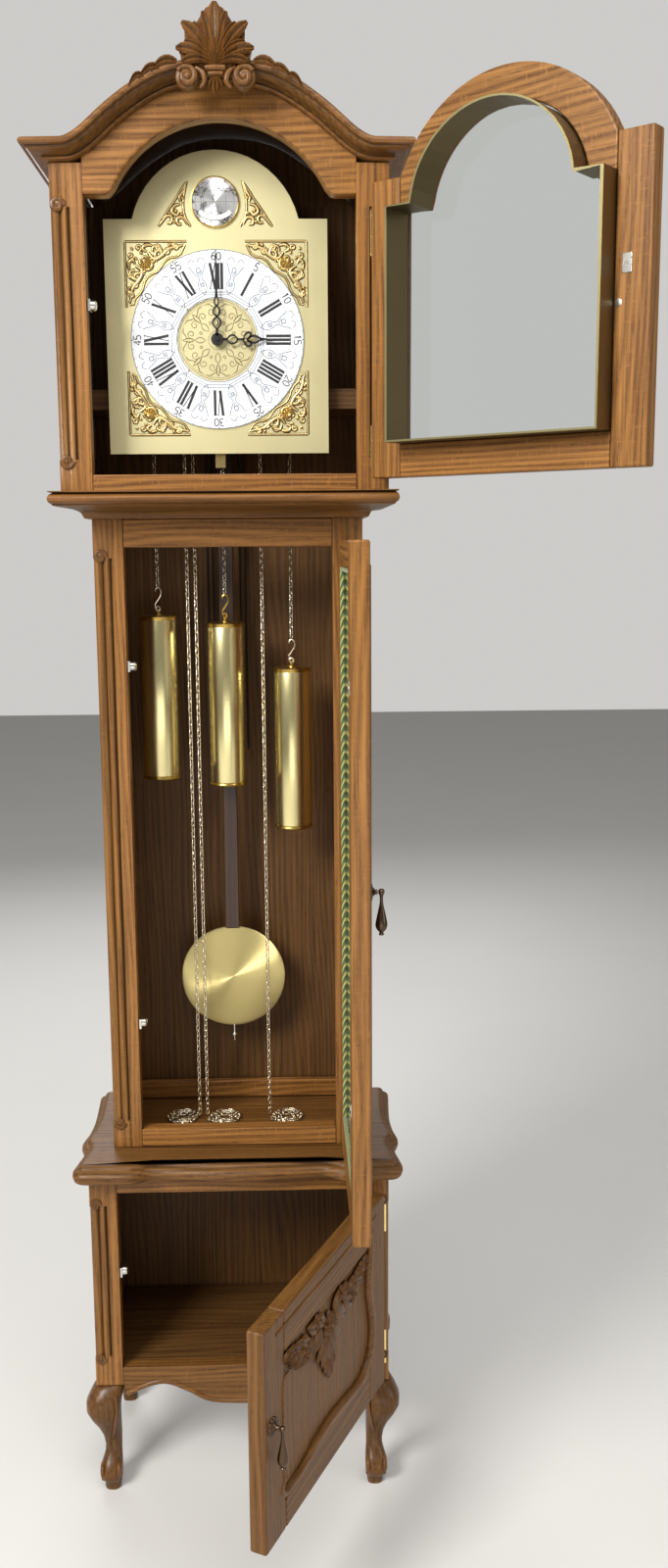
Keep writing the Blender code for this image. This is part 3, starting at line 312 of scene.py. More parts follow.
def oakGroup():
    # open-grained oak: the grain runs along Z of the vector that comes in
    group, given, result = newGroup(
        "oakGrain",
        [("Vector", "Vector", None), ("Light", "Color", (0.4, 0.2, 0.06, 1)),
            ("Dark", "Color", (0.1, 0.04, 0.01, 1)), ("Rings", "Float", 0.5), ("Fleck", "Float", 0.3)],
        [("Color", "Color"), ("Height", "Float"), ("Shine", "Float")])
    vector = given.outputs["Vector"]
    warp = noise(group, vector, 9.0, (1, 1, 0.16), 2.0)
    split = addNode(group, "ShaderNodeSeparateXYZ", {"Vector": vector})
    across = plus(group, split.outputs[0], times(group, split.outputs[1], 0.83))
    phase = plus(group, times(group, across, 760.0), times(group, warp, 58.0))
    drift = plus(group, phase, times(group, split.outputs[2], 14.0))
    bands = sums(group, "MULTIPLY_ADD", sums(group, "SINE", drift), 0.5)
    bands.node.inputs[2].default_value = 0.5
    fibres = noise(group, vector, 1.0, (620, 620, 11), 4.0, 0.65)
    streaks = noise(group, vector, 1.0, (150, 150, 2.6), 2.0)
    pores = ramp(group, noise(group, vector, 1.0, (1500, 1500, 75), 1.0),
        [(0.0, 0.0), (0.6, 0.0), (0.68, 1.0)])
    rays = ramp(group, noise(group, vector, 1.0, (75, 75, 420), 1.5), [(0.0, 0.0), (0.6, 0.0), (0.7, 1.0)])
    tone = plus(group, times(group, fibres, 0.75), times(group, streaks, 0.55))
    ringed = times(group, sums(group, "SUBTRACT", bands, 0.5), given.outputs["Rings"])
    level = plus(group, sums(group, "SUBTRACT", tone, 0.17), times(group, ringed, 0.3))
    clear = ramp(group, level, [(0.22, 0.0), (0.78, 1.0)])
    base = mixed(group, clear, given.outputs["Dark"], given.outputs["Light"])
    poreShare = times(group, pores, sums(group, "SUBTRACT", 1.15, bands))
    inked = mixed(group, times(group, poreShare, 0.55), base, (0.035, 0.014, 0.005))
    rayShare = times(group, rays, given.outputs["Fleck"])
    flecked = mixed(group, rayShare, inked, given.outputs["Light"])
    height = sums(group, "SUBTRACT", times(group, fibres, 0.5), times(group, poreShare, 0.9))
    shine = plus(group, times(group, poreShare, 0.18), times(group, streaks, 0.16))
    group.links.new(flecked, result.inputs["Color"])
    group.links.new(height, result.inputs["Height"])
    group.links.new(shine, result.inputs["Shine"])
    return group


def hollowGroup():
    # dark stains and wax with painted shade in the recesses found by occlusion, and rubbed high edges
    group, given, result = newGroup(
        "hollowShadeAndEdges",
        [("Color", "Color", (0.5, 0.5, 0.5, 1)), ("StainAndShade", "Color", (0.02, 0.01, 0.005, 1)),
         ("Reach", "Float", 0.012), ("StainedAndShaded", "Float", 0.8), ("Rubbed", "Float", 0.3)],
        [("Color", "Color"), ("HollowShade", "Float")])
    # occlusion marks the recesses where shade falls; the darker mix there is painted shade
    occlusion = addNode(group, "ShaderNodeAmbientOcclusion", {"Distance": given.outputs["Reach"]},
        samples=5)
    hollowShadeMask = ramp(group, occlusion.outputs["AO"], [(0.25, 1.0), (0.85, 0.0)])
    geometry = addNode(group, "ShaderNodeNewGeometry")
    edges = ramp(group, geometry.outputs["Pointiness"], [(0.5, 0.0), (0.58, 1.0)])
    dark = mixed(group, times(group, hollowShadeMask, given.outputs["StainedAndShaded"]), given.outputs["Color"],
        given.outputs["StainAndShade"])
    lifted = mixed(group, 1.0, given.outputs["Color"], (1.7, 1.55, 1.4), "MULTIPLY")
    worn = mixed(group, times(group, edges, given.outputs["Rubbed"]), dark, lifted)
    group.links.new(worn, result.inputs["Color"])
    group.links.new(hollowShadeMask, result.inputs["HollowShade"])
    return group


def brushGroup():
    # fine brushing of metal: long along Z of the vector that comes in
    group, given, result = newGroup(
        "brushed",
        [("Vector", "Vector", None), ("Fine", "Float", 2400.0), ("Long", "Float", 8.0),
            ("Rough", "Float", 0.3), ("Spread", "Float", 0.15)],
        [("Roughness", "Float"), ("Height", "Float"), ("Streak", "Float")])
    size = addNode(group, "ShaderNodeCombineXYZ", {"X": given.outputs["Fine"], "Y": given.outputs["Fine"],
        "Z": given.outputs["Long"]})
    mapped = addNode(group, "ShaderNodeVectorMath", {0: given.outputs["Vector"], 1: size.outputs[0]},
        operation="MULTIPLY")
    lines = addNode(group, "ShaderNodeTexNoise", {"Vector": mapped.outputs[0], "Scale": 1.0, "Detail": 2.0})
    clouds = noise(group, given.outputs["Vector"], 14.0, (1, 1, 1), 3.0)
    centred = sums(group, "SUBTRACT", plus(group, lines.outputs["Fac"], clouds), 1.0)
    rough = plus(group, given.outputs["Rough"], times(group, centred, given.outputs["Spread"]))
    group.links.new(rough, result.inputs["Roughness"])
    group.links.new(lines.outputs["Fac"], result.inputs["Height"])
    group.links.new(clouds, result.inputs["Streak"])
    return group


oakGrain = oakGroup()
hollowShade = hollowGroup()
brushed = brushGroup()
finishes = {}


def newMaterial(name, slot):
    material = bpy.data.materials.new(name)
    material.use_nodes = True
    finishes[name] = (material, slot)
    return material.node_tree, material.node_tree.nodes["Principled BSDF"]


def link(tree, socket, target):
    tree.links.new(socket, target)


def useGroup(tree, group, inputs):
    made = addNode(tree, "ShaderNodeGroup")
    made.node_tree = group
    for key, value in inputs.items():
        feed(tree, made.inputs[key], value)
    return made


def pieceVector(tree, turn, amount=3.0):
    # the object's own coordinates, turned so that Z lies along the grain, and shifted for each piece
    place = addNode(tree, "ShaderNodeTexCoord").outputs["Object"]
    shift = times(tree, addNode(tree, "ShaderNodeObjectInfo").outputs["Random"], amount)
    moved = addNode(tree, "ShaderNodeVectorMath", {0: place, 1: shift}, operation="ADD").outputs[0]
    return addNode(tree, "ShaderNodeMapping", {"Vector": moved, "Rotation": turn}).outputs[0]


oakSettings = {
    "light": (0.325, 0.152, 0.038), "dark": (0.085, 0.031, 0.006), "stainAndShade": (0.016, 0.006, 0.002),
    "roughness": 0.36, "bump": 0.00025,
    "turns": {"Upright": (0, 0, 0), "Across": (0, math.radians(90), 0)},
}


def makeOak(name, slot, direction, shade=1.0, rings=0.5, fleck=0.25, stainedAndShaded=0.75, rubbed=0.35, gloss=0.0,
            coat=0.09):
    tree, shader = newMaterial(name, slot)
    settings = oakSettings
    vector = pieceVector(tree, settings["turns"][direction])
    light = tuple(value * shade for value in settings["light"])
    dark = tuple(value * shade for value in settings["dark"])
    grain = useGroup(tree, oakGrain, {"Vector": vector, "Light": light, "Dark": dark, "Rings": rings,
        "Fleck": fleck})
    # stains and wax, with painted shade, darken the recesses of the oak
    tone = useGroup(tree, hollowShade, {"Color": grain.outputs["Color"], "StainAndShade": settings["stainAndShade"],
        "Reach": 0.008, "StainedAndShaded": stainedAndShaded, "Rubbed": rubbed})
    link(tree, tone.outputs["Color"], shader.inputs["Base Color"])
    base = settings["roughness"] - gloss
    rough = plus(tree, grain.outputs["Shine"], base - 0.06)
    link(tree, rough, shader.inputs["Roughness"])
    bump = addNode(tree, "ShaderNodeBump", {"Strength": 0.5, "Distance": settings["bump"],
        "Height": grain.outputs["Height"]})
    link(tree, bump.outputs["Normal"], shader.inputs["Normal"])
    shader.inputs["Coat Weight"].default_value = coat
    shader.inputs["Coat Roughness"].default_value = 0.22
    shader.inputs["Specular IOR Level"].default_value = 0.28


makeOak("oakUpright", "oak", "Upright")
makeOak("oakAcross", "oak", "Across", rings=0.7, fleck=0.4)
makeOak("oakMoulded", "oak", "Across", shade=0.66, rings=0.35, stainedAndShaded=0.9, rubbed=0.6, gloss=0.04)
makeOak("oakCarved", "carved_oak", "Upright", shade=0.46, rings=0.25, fleck=0.1, stainedAndShaded=0.95, rubbed=0.8,
    gloss=0.06)
# darker copies of the oak as painted shade: inside the case, shelves and floors, the whole lower case and
# the side boards
makeOak("oakInsideShaded", "oak", "Upright", shade=0.5, rings=0.5, fleck=0.15, rubbed=0.0, gloss=-0.16, coat=0.0)
makeOak("oakShelfShaded", "plywood", "Across", shade=0.45, rings=0.5, rubbed=0.0, gloss=-0.2, coat=0.0)
makeOak("oakLowShaded", "oak", "Upright", shade=0.62, rings=0.5, fleck=0.2, stainedAndShaded=0.8, gloss=-0.06, coat=0.03)
makeOak("oakLowAcrossShaded", "oak", "Across", shade=0.66, rings=0.6, fleck=0.3, stainedAndShaded=0.8, gloss=-0.06,
    coat=0.03)
makeOak("oakSideShaded", "oak", "Upright", shade=0.85, rings=0.8, fleck=0.2, rubbed=0.1)


def makeMetal(name, slot, color, rough, spread=0.12, turn=(0, 0, 0), fine=2400.0, long=8.0, tint=None,
        stainAndShade=None, stainedAndShaded=0.0, bump=0.00003, spin=None, spun=0.0, reach=0.004):
    tree, shader = newMaterial(name, slot)
    vector = pieceVector(tree, turn, 1.0)
    brush = useGroup(tree, brushed, {"Vector": vector, "Rough": rough, "Spread": spread, "Fine": fine,
        "Long": long})
    shade = mixed(tree, brush.outputs["Streak"], color, tint or tuple(value * 0.8 for value in color))
    # dirt and painted shade darken the recesses of the metal, by occlusion
    if stainAndShade:
        tone = useGroup(tree, hollowShade, {"Color": shade, "StainAndShade": stainAndShade, "Reach": reach, "StainedAndShaded": stainedAndShaded,
            "Rubbed": 0.5})
        shade = tone.outputs["Color"]
    link(tree, shade, shader.inputs["Base Color"])
    link(tree, brush.outputs["Roughness"], shader.inputs["Roughness"])
    relief = addNode(tree, "ShaderNodeBump", {"Strength": 0.35, "Distance": bump,
        "Height": brush.outputs["Height"]})
    link(tree, relief.outputs["Normal"], shader.inputs["Normal"])
    shader.inputs["Metallic"].default_value = 1.0
    if spin:
        shader.inputs["Anisotropic"].default_value = spun
        tangent = addNode(tree, "ShaderNodeTangent", direction_type="RADIAL", axis=spin)
        link(tree, tangent.outputs[0], shader.inputs["Tangent"])


quarter = math.radians(90)
makeMetal("dialPlate", "dial_brass", (0.95, 0.86, 0.5), 0.36, 0.08, tint=(0.91, 0.81, 0.45), long=5.0)
makeMetal("weightShell", "brass", (0.93, 0.82, 0.42), 0.24, 0.08, turn=(0, quarter, 0), fine=1800.0,
    long=25.0, spin="Z", spun=0.55)
makeMetal("pendulumBrass", "brass", (0.9, 0.76, 0.34), 0.46, 0.04, spin="Y", spun=0.95, fine=60.0,
    long=60.0)
makeMetal("rimBrass", "brass", (0.6, 0.4, 0.1), 0.28, 0.12)
makeMetal("castBrass", "brass", (0.62, 0.5, 0.24), 0.34, 0.1, stainAndShade=(0.05, 0.036, 0.015), stainedAndShaded=0.95,
          fine=500.0, long=500.0, reach=0.003)
# near-black brass for the painted shade under the spandrel strokes
makeMetal("footShadeBrass", "brass", (0.085, 0.06, 0.026), 0.45, 0.1, fine=500.0, long=500.0)
# the liner: aged brass darkened as painted shade, and a bright copy for its front edge as a painted
# highlight
makeMetal("linerBrassShaded", "aged_brass", (0.2, 0.15, 0.07), 0.42, 0.12, long=20.0)
makeMetal("linerEdgeHighlight", "aged_brass", (0.95, 0.82, 0.4), 0.22, 0.05)
makeMetal("bronze", "bronze", (0.075, 0.052, 0.04), 0.3, 0.16, tint=(0.12, 0.075, 0.045),
          stainAndShade=(0.012, 0.009, 0.007), stainedAndShaded=0.8, fine=300.0, long=300.0)
makeMetal("nickel", "steel", (0.8, 0.78, 0.73), 0.24, 0.12, fine=600.0, long=600.0)
makeMetal("chainSteel", "steel", (0.78, 0.74, 0.62), 0.26, 0.12, tint=(0.62, 0.56, 0.42), fine=400.0,
    long=400.0, stainAndShade=(0.1, 0.08, 0.05), stainedAndShaded=0.6, reach=0.002)
makeMetal("hingeBrass", "brass", (0.82, 0.64, 0.28), 0.26, 0.12, fine=500.0, long=500.0,
          stainAndShade=(0.08, 0.05, 0.02), stainedAndShaded=0.7)


def makeBlack():
    tree, shader = newMaterial("blackEnamel", "black")
    vector = pieceVector(tree, (0, 0, 0), 1.0)
    spots = noise(tree, vector, 900.0, (1, 1, 1), 2.0)
    link(tree, mixed(tree, spots, (0.01, 0.01, 0.011), (0.022, 0.02, 0.019)), shader.inputs["Base Color"])
    link(tree, plus(tree, times(tree, spots, 0.14), 0.24), shader.inputs["Roughness"])
    shader.inputs["Metallic"].default_value = 0.0


def makeInk(name, color, fade):
    tree, shader = newMaterial(name, "black")
    vector = pieceVector(tree, (0, 0, 0), 1.0)
    wear = noise(tree, vector, 700.0, (1, 1, 1), 3.0)
    link(tree, mixed(tree, wear, color, fade), shader.inputs["Base Color"])
    link(tree, plus(tree, times(tree, wear, 0.2), 0.4), shader.inputs["Roughness"])


def makeEnamel():
    tree, shader = newMaterial("ringWhite", "silvered")
    vector = pieceVector(tree, (0, 0, 0), 1.0)
    cloud = noise(tree, vector, 45.0, (1, 1, 1), 4.0)
    link(tree, mixed(tree, cloud, (0.86, 0.88, 0.9), (0.76, 0.79, 0.82)), shader.inputs["Base Color"])
    link(tree, plus(tree, times(tree, cloud, 0.15), 0.3), shader.inputs["Roughness"])
    shader.inputs["Coat Weight"].default_value = 0.3


def makeGlobe():
    # silvered disc with made-up coasts and a faint net of lines
    tree, shader = newMaterial("globeSilver", "silvered")
    place = addNode(tree, "ShaderNodeTexCoord").outputs["Object"]
    land = noise(tree, place, 42.0, (1, 1, 1), 5.0, 0.6)
    coast = ramp(tree, land, [(0.485, 0.0), (0.505, 1.0), (0.512, 1.0), (0.53, 0.25), (0.6, 0.12)])
    hatch = ramp(tree, noise(tree, place, 1.0, (900, 900, 160), 1.0), [(0.45, 0.0), (0.6, 0.6)])
    inked = sums(tree, "MAXIMUM", coast, times(tree, hatch, coast))
    link(tree, mixed(tree, inked, (0.84, 0.85, 0.86), (0.07, 0.075, 0.085)), shader.inputs["Base Color"])
    link(tree, plus(tree, times(tree, land, 0.1), 0.32), shader.inputs["Roughness"])
    shader.inputs["Metallic"].default_value = 1.0
    shader.inputs["Anisotropic"].default_value = 0.93
    tangent = addNode(tree, "ShaderNodeTangent", direction_type="RADIAL", axis="Y")
    link(tree, tangent.outputs[0], shader.inputs["Tangent"])


def makeGlass():
    tree, shader = newMaterial("paneGlass", "glass")
    place = addNode(tree, "ShaderNodeTexCoord").outputs["Object"]
    smear = noise(tree, place, 6.0, (1, 1, 0.3), 3.0)
    link(tree, ramp(tree, smear, [(0.35, 0.012), (0.75, 0.06)]), shader.inputs["Roughness"])
    shader.inputs["Base Color"].default_value = (0.95, 0.985, 0.975, 1)
    shader.inputs["Transmission Weight"].default_value = 1.0
    shader.inputs["IOR"].default_value = 1.46


def makeCord():
    # two colours of thread plaited as a herringbone
    tree, shader = newMaterial("glazingCord", "oak")
    place = addNode(tree, "ShaderNodeTexCoord").outputs["Object"]
    split = addNode(tree, "ShaderNodeSeparateXYZ", {"Vector": place})
    slant = plus(tree, times(tree, split.outputs[2], 520.0),
        times(tree, plus(tree, split.outputs[0], split.outputs[1]), 900.0))
    strand = sums(tree, "SINE", slant)
    threads = noise(tree, place, 1.0, (2500, 2500, 2500), 2.0)
    gold = mixed(tree, threads, (0.52, 0.5, 0.14), (0.34, 0.34, 0.08))
    green = mixed(tree, threads, (0.085, 0.13, 0.028), (0.035, 0.06, 0.012))
    link(tree, mixed(tree, ramp(tree, strand, [(0.42, 0.0), (0.58, 1.0)]), green, gold),
        shader.inputs["Base Color"])
    shader.inputs["Roughness"].default_value = 0.7
    relief = addNode(tree, "ShaderNodeBump", {"Strength": 0.6, "Distance": 0.0006, "Height": strand})
    link(tree, relief.outputs["Normal"], shader.inputs["Normal"])
    shader.inputs["Sheen Weight"].default_value = 0.3


def makeRodWood():
    tree, shader = newMaterial("rodWood", "dark_wood")
    vector = pieceVector(tree, (0, 0, 0), 1.0)
    grain = useGroup(tree, oakGrain, {"Vector": vector, "Light": (0.07, 0.034, 0.018),
        "Dark": (0.022, 0.011, 0.007), "Rings": 0.4, "Fleck": 0.0})
    link(tree, grain.outputs["Color"], shader.inputs["Base Color"])
    link(tree, plus(tree, grain.outputs["Shine"], 0.32), shader.inputs["Roughness"])


makeBlack()
makeInk("numeralBlack", (0.006, 0.006, 0.007), (0.016, 0.016, 0.018))
makeInk("ringLines", (0.075, 0.1, 0.16), (0.16, 0.2, 0.27))
makeInk("engraving", (0.13, 0.085, 0.03), (0.2, 0.14, 0.055))
makeEnamel()
makeGlobe()
makeGlass()
makeCord()
makeRodWood()
print("finishes made:", len(finishes))


def newPiece(shape, name, finish):
    mesh = bpy.data.meshes.new(name)
    mesh.from_pydata(shape.points, [], shape.faces)
    mesh.materials.append(finishes[finish][0])
    mesh.shade_smooth()
    piece = bpy.data.objects.new(name, mesh)
    bpy.context.scene.collection.objects.link(piece)
    return piece


def fit(shape, name, body, finish, at=None, stands=(), bevel=0.0, segments=2, sharp=38):
    # one object from a shape: the body it rides on, its finish, and the nodes it stands for
    piece = newPiece(shape, name, finish)
    shaped = bmesh.new()
    shaped.from_mesh(piece.data)
    bmesh.ops.recalc_face_normals(shaped, faces=shaped.faces)
    shaped.to_mesh(piece.data)
    shaped.free()
    piece.data.set_sharp_from_angle(angle=math.radians(sharp))
    if bevel:
        edge = piece.modifiers.new("softEdge", "BEVEL")
        edge.width = bevel
        edge.segments = segments
        edge.limit_method = "ANGLE"
        edge.angle_limit = math.radians(40)
        edge.harden_normals = True
    piece.matrix_world = caseMatrix if at is None else at
    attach(piece, body)
    if stands:
        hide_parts(*stands)
    return piece


def keep(node, finish):
    # a node of the frame whose shape stays, with a finish of its own
    target = nodes[node]
    target.data.materials.clear()
    target.data.materials.append(finishes[finish][0])
    target.data.shade_smooth()
    target.data.set_sharp_from_angle(angle=math.radians(38))


def caseBox(name):
    return localBox(name, caseMatrix)


stileSettings = {
    "reeds": ((0.0056, 0.0056), (0.0165, 0.0046)),   # place from the outer edge and radius
    "groove": 0.0042, "strip": 0.0235,
}


def stileSection(width, depth, reeded):
    # outline in (from the outer edge, depth) with two reeds and their grooves
    (cornerPlace, cornerRadius), (reedPlace, reedRadius) = stileSettings["reeds"]
    deep = stileSettings["groove"]
    strip = stileSettings["strip"]
    outline = [(0.0, depth), (0.0, cornerRadius + 0.001)]
    outline += arc((cornerPlace, cornerRadius), cornerRadius, 180, 270, 5)
    outline += [(0.0095, deep * 0.35), (0.0116, deep)]
    outline += [(reedPlace + reedRadius * math.cos(a), reedRadius + reedRadius * math.sin(a))
                for a in (math.radians(200 + 28 * k) for k in range(6))]
    outline += [(strip - 0.0018, deep), (strip, 0.0), (width, 0.0), (width, depth)]
    if not reeded:
        outline = [(u, 0.0 if 0 < v < depth else v) for u, v in outline]
        outline[1] = (0.0, 0.0006)
    return outline


def makeStile(name, nodeBox, openingHalf, side, reedLow, reedHigh, volute, stands=()):
    low, high = nodeBox
    outer = (high.x - low.x) / 2
    width = outer - openingHalf - 0.0002
    depth = high.y - low.y
    shape = Shape()
    heights = [(low.z, False), (reedLow - 0.0012, False), (reedLow, True), (reedHigh, True),
               (reedHigh + 0.0012, False), (high.z, False)]
    rings = []
    for z, reeded in heights:
        rings.append([(side * (outer - u), low.y + v, z) for u, v in stileSection(width, depth, reeded)])
    shape.loft(rings)
    fit(shape, name, "case", "oakUpright", stands=stands)
    # a volute closes the reeds at each end
    carving = Shape()
    radius = volute
    for z, way in ((reedLow, -1), (reedHigh, 1)):
        centre = (side * (outer - radius + 0.0004), z + way * 0.003)
        coil = spiral(centre, radius * 0.86, radius * 0.22, 180 if side > 0 else 0, -side * way * 1.35, 34)
        carving.tube(onFace(coil, low.y - 0.0004), taper(len(coil), radius * 0.26, radius * 0.34,
            radius * 0.24), 8, 0.75, (0, -1, 0))
        button = [(radius * 0.34, -0.002), (radius * 0.34, 0.0012), (radius * 0.22, 0.0024), (0.0, 0.003)]
        carving.turned(button, (centre[0], low.y, centre[1]), "Y", 14)
    fit(carving, name + "_volutes", "case", "oakCarved")


def makeBaseFrame():
    low, high = caseBox("base_front_frame")
    compartment = caseBox("base_floor")
    outer = high.x
    legTop = caseBox("leg_front_left")[1].z
    half = baseSettings["openingHalf"]
    box = (Vector((low.x, low.y, legTop + 0.0004)), high)
    for side, where in ((-1, "left"), (1, "right")):
        makeStile(f"base_stile_{where}", box, half, side, baseSettings["reedLow"], baseSettings["reedHigh"],
            0.0084, ("base_front_frame",) if side < 0 else ())
    rail = Shape().block((-half, low.y + 0.0004, baseSettings["openingTop"]), (half, high.y, high.z))
    fit(rail, "base_top_rail", "case", "oakAcross", bevel=0.0012)
    # the apron: a scalloped lower edge with a bead along it
    apronHalf = outer - 0.042
    depth = legTop - low.z
    edge = smooth([(apronHalf * share, legTop - depth * drop) for share, drop in baseSettings["apron"]], 6)
    edge = edge + [(-x, z) for x, z in reversed(edge[:-1])]
    openingLow = compartment[1].z
    outline = [(-half, openingLow), (-half, legTop + 0.002)]
    outline += [(x, z) for x, z in reversed(edge)]
    outline += [(half, legTop + 0.002), (half, openingLow)]
    apron = Shape().slab(outline, low.y + 0.0004, high.y)
    fit(apron, "base_apron", "case", "oakLowAcrossShaded", bevel=0.0012)
    bead = Shape()
    line = [(x, low.y + 0.0008, z + 0.0035) for x, z in edge]
    bead.tube(line, 0.0036, 10, 0.85, (0, -1, 0))
    fit(bead, "apron_bead", "case", "oakMoulded")


def makeCarcass(node, name, finish, inside, top=None):
    # the two sides and the back of a section
    low, high = caseBox(node)
    high.z = high.z if top is None else top
    wall = 0.014
    shape = Shape()
    for side in (-1, 1):
        shape.block((side * high.x if side < 0 else high.x - wall, low.y, low.z),
                    (low.x + wall if side < 0 else high.x, high.y, high.z))
    fit(shape, name + "_sides", "case", finish, bevel=0.0012)
    back = Shape().block((low.x + wall + 0.0002, high.y - 0.008, low.z),
        (high.x - wall - 0.0002, high.y, high.z))
    fit(back, name + "_back", "case", inside, stands=(node,))


baseSettings = {
    "openingHalf": 0.1655, "openingTop": caseBox("base_front_frame")[1].z - 0.0265,
    "reedLow": 0.193, "reedHigh": 0.414,
    "apron": ((1.0, 0.55), (0.82, 0.12), (0.65, 0.0), (0.46, 0.4), (0.28, 0.88), (0.0, 1.0)),
}


def makeBaseTop():
    # serpentine board: two low steps, then a full round nose
    low, high = caseBox("base_top")
    half = high.x
    front = low.y
    back = high.y
    side = [(half - 0.003, back), (half - 0.007, back - 0.081), (half - 0.005, back - 0.126),
            (half, back - 0.161), (half - 0.007, front + 0.073), (half - 0.002, front + 0.038),
            (half, front + 0.018), (half - 0.01, front + 0.003), (half - 0.04, front + 0.001),
            (half - 0.075, front), (half - 0.092, front + 0.006), (half - 0.108, front + 0.013),
            (half - 0.15, front + 0.009), (half - 0.185, front + 0.005), (0.0, front + 0.003)]
    run = smooth(side, 5)
    outline = run + [(-x, y) for x, y in reversed(run[:-1])]
    outward = []
    for i in range(len(outline)):
        along = heading(outline, i)
        outward.append((-along.y, along.x))
    thick = high.z - low.z
    profile = [(0.01, 0.0), (0.0045, 0.0006), (0.0015, 0.003), (0.0, 0.0075), (0.0006, 0.012),
        (0.003, 0.0155), (0.0062, 0.0172), (0.0085, 0.018), (0.009, 0.0202), (0.0108, 0.0222),
        (0.0134, 0.0235), (0.0158, thick)]
    rings = []
    for inset, up in profile:
        ring = []
        for (x, y), (ox, oy) in zip(outline, outward):
            atBack = y > back - 0.0005
            ring.append((x - (inset * abs(ox)) * (1 if x > 0 else -1) if atBack else x - inset * ox,
                y if atBack else y - inset * oy, low.z + up))
        rings.append(ring)
    fit(Shape().loft(rings), "base_top_board", "case", "oakLowAcrossShaded", stands=("base_top",), sharp=50)


legSettings = {
    # share of the height, outward and forward shift, radius, breadth
    "stations": ((0.9985, 0.0, 0.0, 0.0205, 1.0), (0.955, 0.0035, 0.004, 0.0225, 1.0),
        (0.9, 0.0075, 0.008, 0.0242, 1.0), (0.83, 0.0118, 0.0125, 0.0254, 1.0),
        (0.75, 0.0122, 0.0142, 0.0246, 1.0), (0.66, 0.0092, 0.0132, 0.0212, 1.0),
        (0.57, 0.0052, 0.0112, 0.0168, 1.0), (0.47, 0.0018, 0.0098, 0.0134, 1.0),
        (0.38, 0.0006, 0.0108, 0.0118, 1.0), (0.32, 0.0006, 0.014, 0.012, 1.05),
        (0.26, 0.0016, 0.019, 0.014, 1.1), (0.2, 0.0028, 0.024, 0.016, 1.1),
        (0.14, 0.003, 0.0275, 0.016, 1.05), (0.09, 0.0024, 0.027, 0.0128, 1.0),
        (0.055, 0.0018, 0.0262, 0.0106, 1.0), (0.03, 0.0012, 0.0262, 0.0116, 1.0),
        (0.0, 0.001, 0.026, 0.0108, 1.0)),
    "sides": 28,
}


def makeLegs():
    # carved cabriole legs: round knee, slim ankle, scrolled toe on a pad
    for forward, depthName in ((-1, "front"), (1, "back")):
        for side, where in ((-1, "left"), (1, "right")):
            node = f"leg_{depthName}_{where}"
            high = caseBox(node)[1]
            top = high.z
            rootX = caseBox("base_front_frame")[1].x - 0.0205
            rootY = caseBox("base_front_frame")[0].y + 0.0215 if forward < 0 else high.y - 0.026
            reach = 1.0 if forward < 0 else 0.0
            rings = []
            for share, out, ahead, radius, wide in legSettings["stations"]:
                centre = Vector((side * (rootX + out), rootY - reach * ahead, share * top))
                ring = []
                for k in range(legSettings["sides"]):
                    angle = 2 * math.pi * k / legSettings["sides"]
                    # a soft ridge runs down the outer front corner
                    ridge = 1.0 + 0.05 * math.cos(4 * (angle - math.pi / 4))
                    ring.append(centre + Vector((math.cos(angle) * radius * ridge,
                        math.sin(angle) * radius * wide * ridge, 0)))
                rings.append(ring)
            shape = Shape().loft(rings)
            if forward < 0:
                # knee carving: a raised line each side, and the scroll of the toe
                kneeX = side * (rootX + 0.012)
                toe = (side * (rootX + 0.0025), rootY - 0.0275)
                coil = spiral((0.0, 0.0), 0.0125, 0.0035, -95, 1.5, 36)
                for face in (-1, 1):
                    path = [(toe[0] + face * 0.0115, toe[1] - 0.0035 + u, top * 0.175 + v) for u, v in coil]
                    shape.tube(path, taper(len(path), 0.0036, 0.0038, 0.0018), 8, 0.8, (face, 0, 0))
                path = smooth([(kneeX + side * -0.018, rootY - 0.033, top * 0.95),
                    (kneeX - side * 0.02, rootY - 0.034, top * 0.8),
                    (kneeX - side * 0.016, rootY - 0.03, top * 0.62),
                    (kneeX - side * 0.012, rootY - 0.022, top * 0.45)], 5)
                shape.tube(path, taper(len(path), 0.0015, 0.0022, 0.001), 6)
            fit(shape, node + "_carved", "case", "oakCarved", stands=(node,), sharp=60)


print("base")
makeBaseFrame()
makeCarcass("base_carcass", "base", "oakSideShaded", "oakInsideShaded")
keep("base_floor", "oakShelfShaded")
makeBaseTop()
makeLegs()

trunkSettings = {"openingHalf": 0.1328, "bottomRail": 0.024, "topRail": 0.0352, "reedLow": 0.522,
    "reedHigh": 1.278}


def makeTrunk():
    low, high = caseBox("trunk_front_frame")
    settings = trunkSettings
    half = settings["openingHalf"]
    for side, where in ((-1, "left"), (1, "right")):
        makeStile(f"trunk_stile_{where}", (low, high), half, side, settings["reedLow"],
            settings["reedHigh"], 0.0092, ("trunk_front_frame",) if side < 0 else ())
    for name, z0, z1 in (("bottom", low.z, low.z + settings["bottomRail"]),
            ("top", high.z - settings["topRail"], high.z)):
        rail = Shape().block((-half, low.y + 0.0004, z0), (half, high.y, z1))
        fit(rail, f"trunk_{name}_rail", "case", "oakAcross", bevel=0.0014)
    makeCarcass("trunk_carcass", "trunk", "oakSideShaded", "oakInsideShaded")
    # battens where the back board meets the trunk's floor
    inner = caseBox("trunk_carcass")
    wall = 0.0145
    ledge = Shape().block((inner[0].x + wall, inner[1].y - 0.02, low.z + 0.0004),
        (inner[1].x - wall, inner[1].y - 0.0085, low.z + 0.026))
    fit(ledge, "trunk_back_batten", "case", "oakAcross", bevel=0.0015)


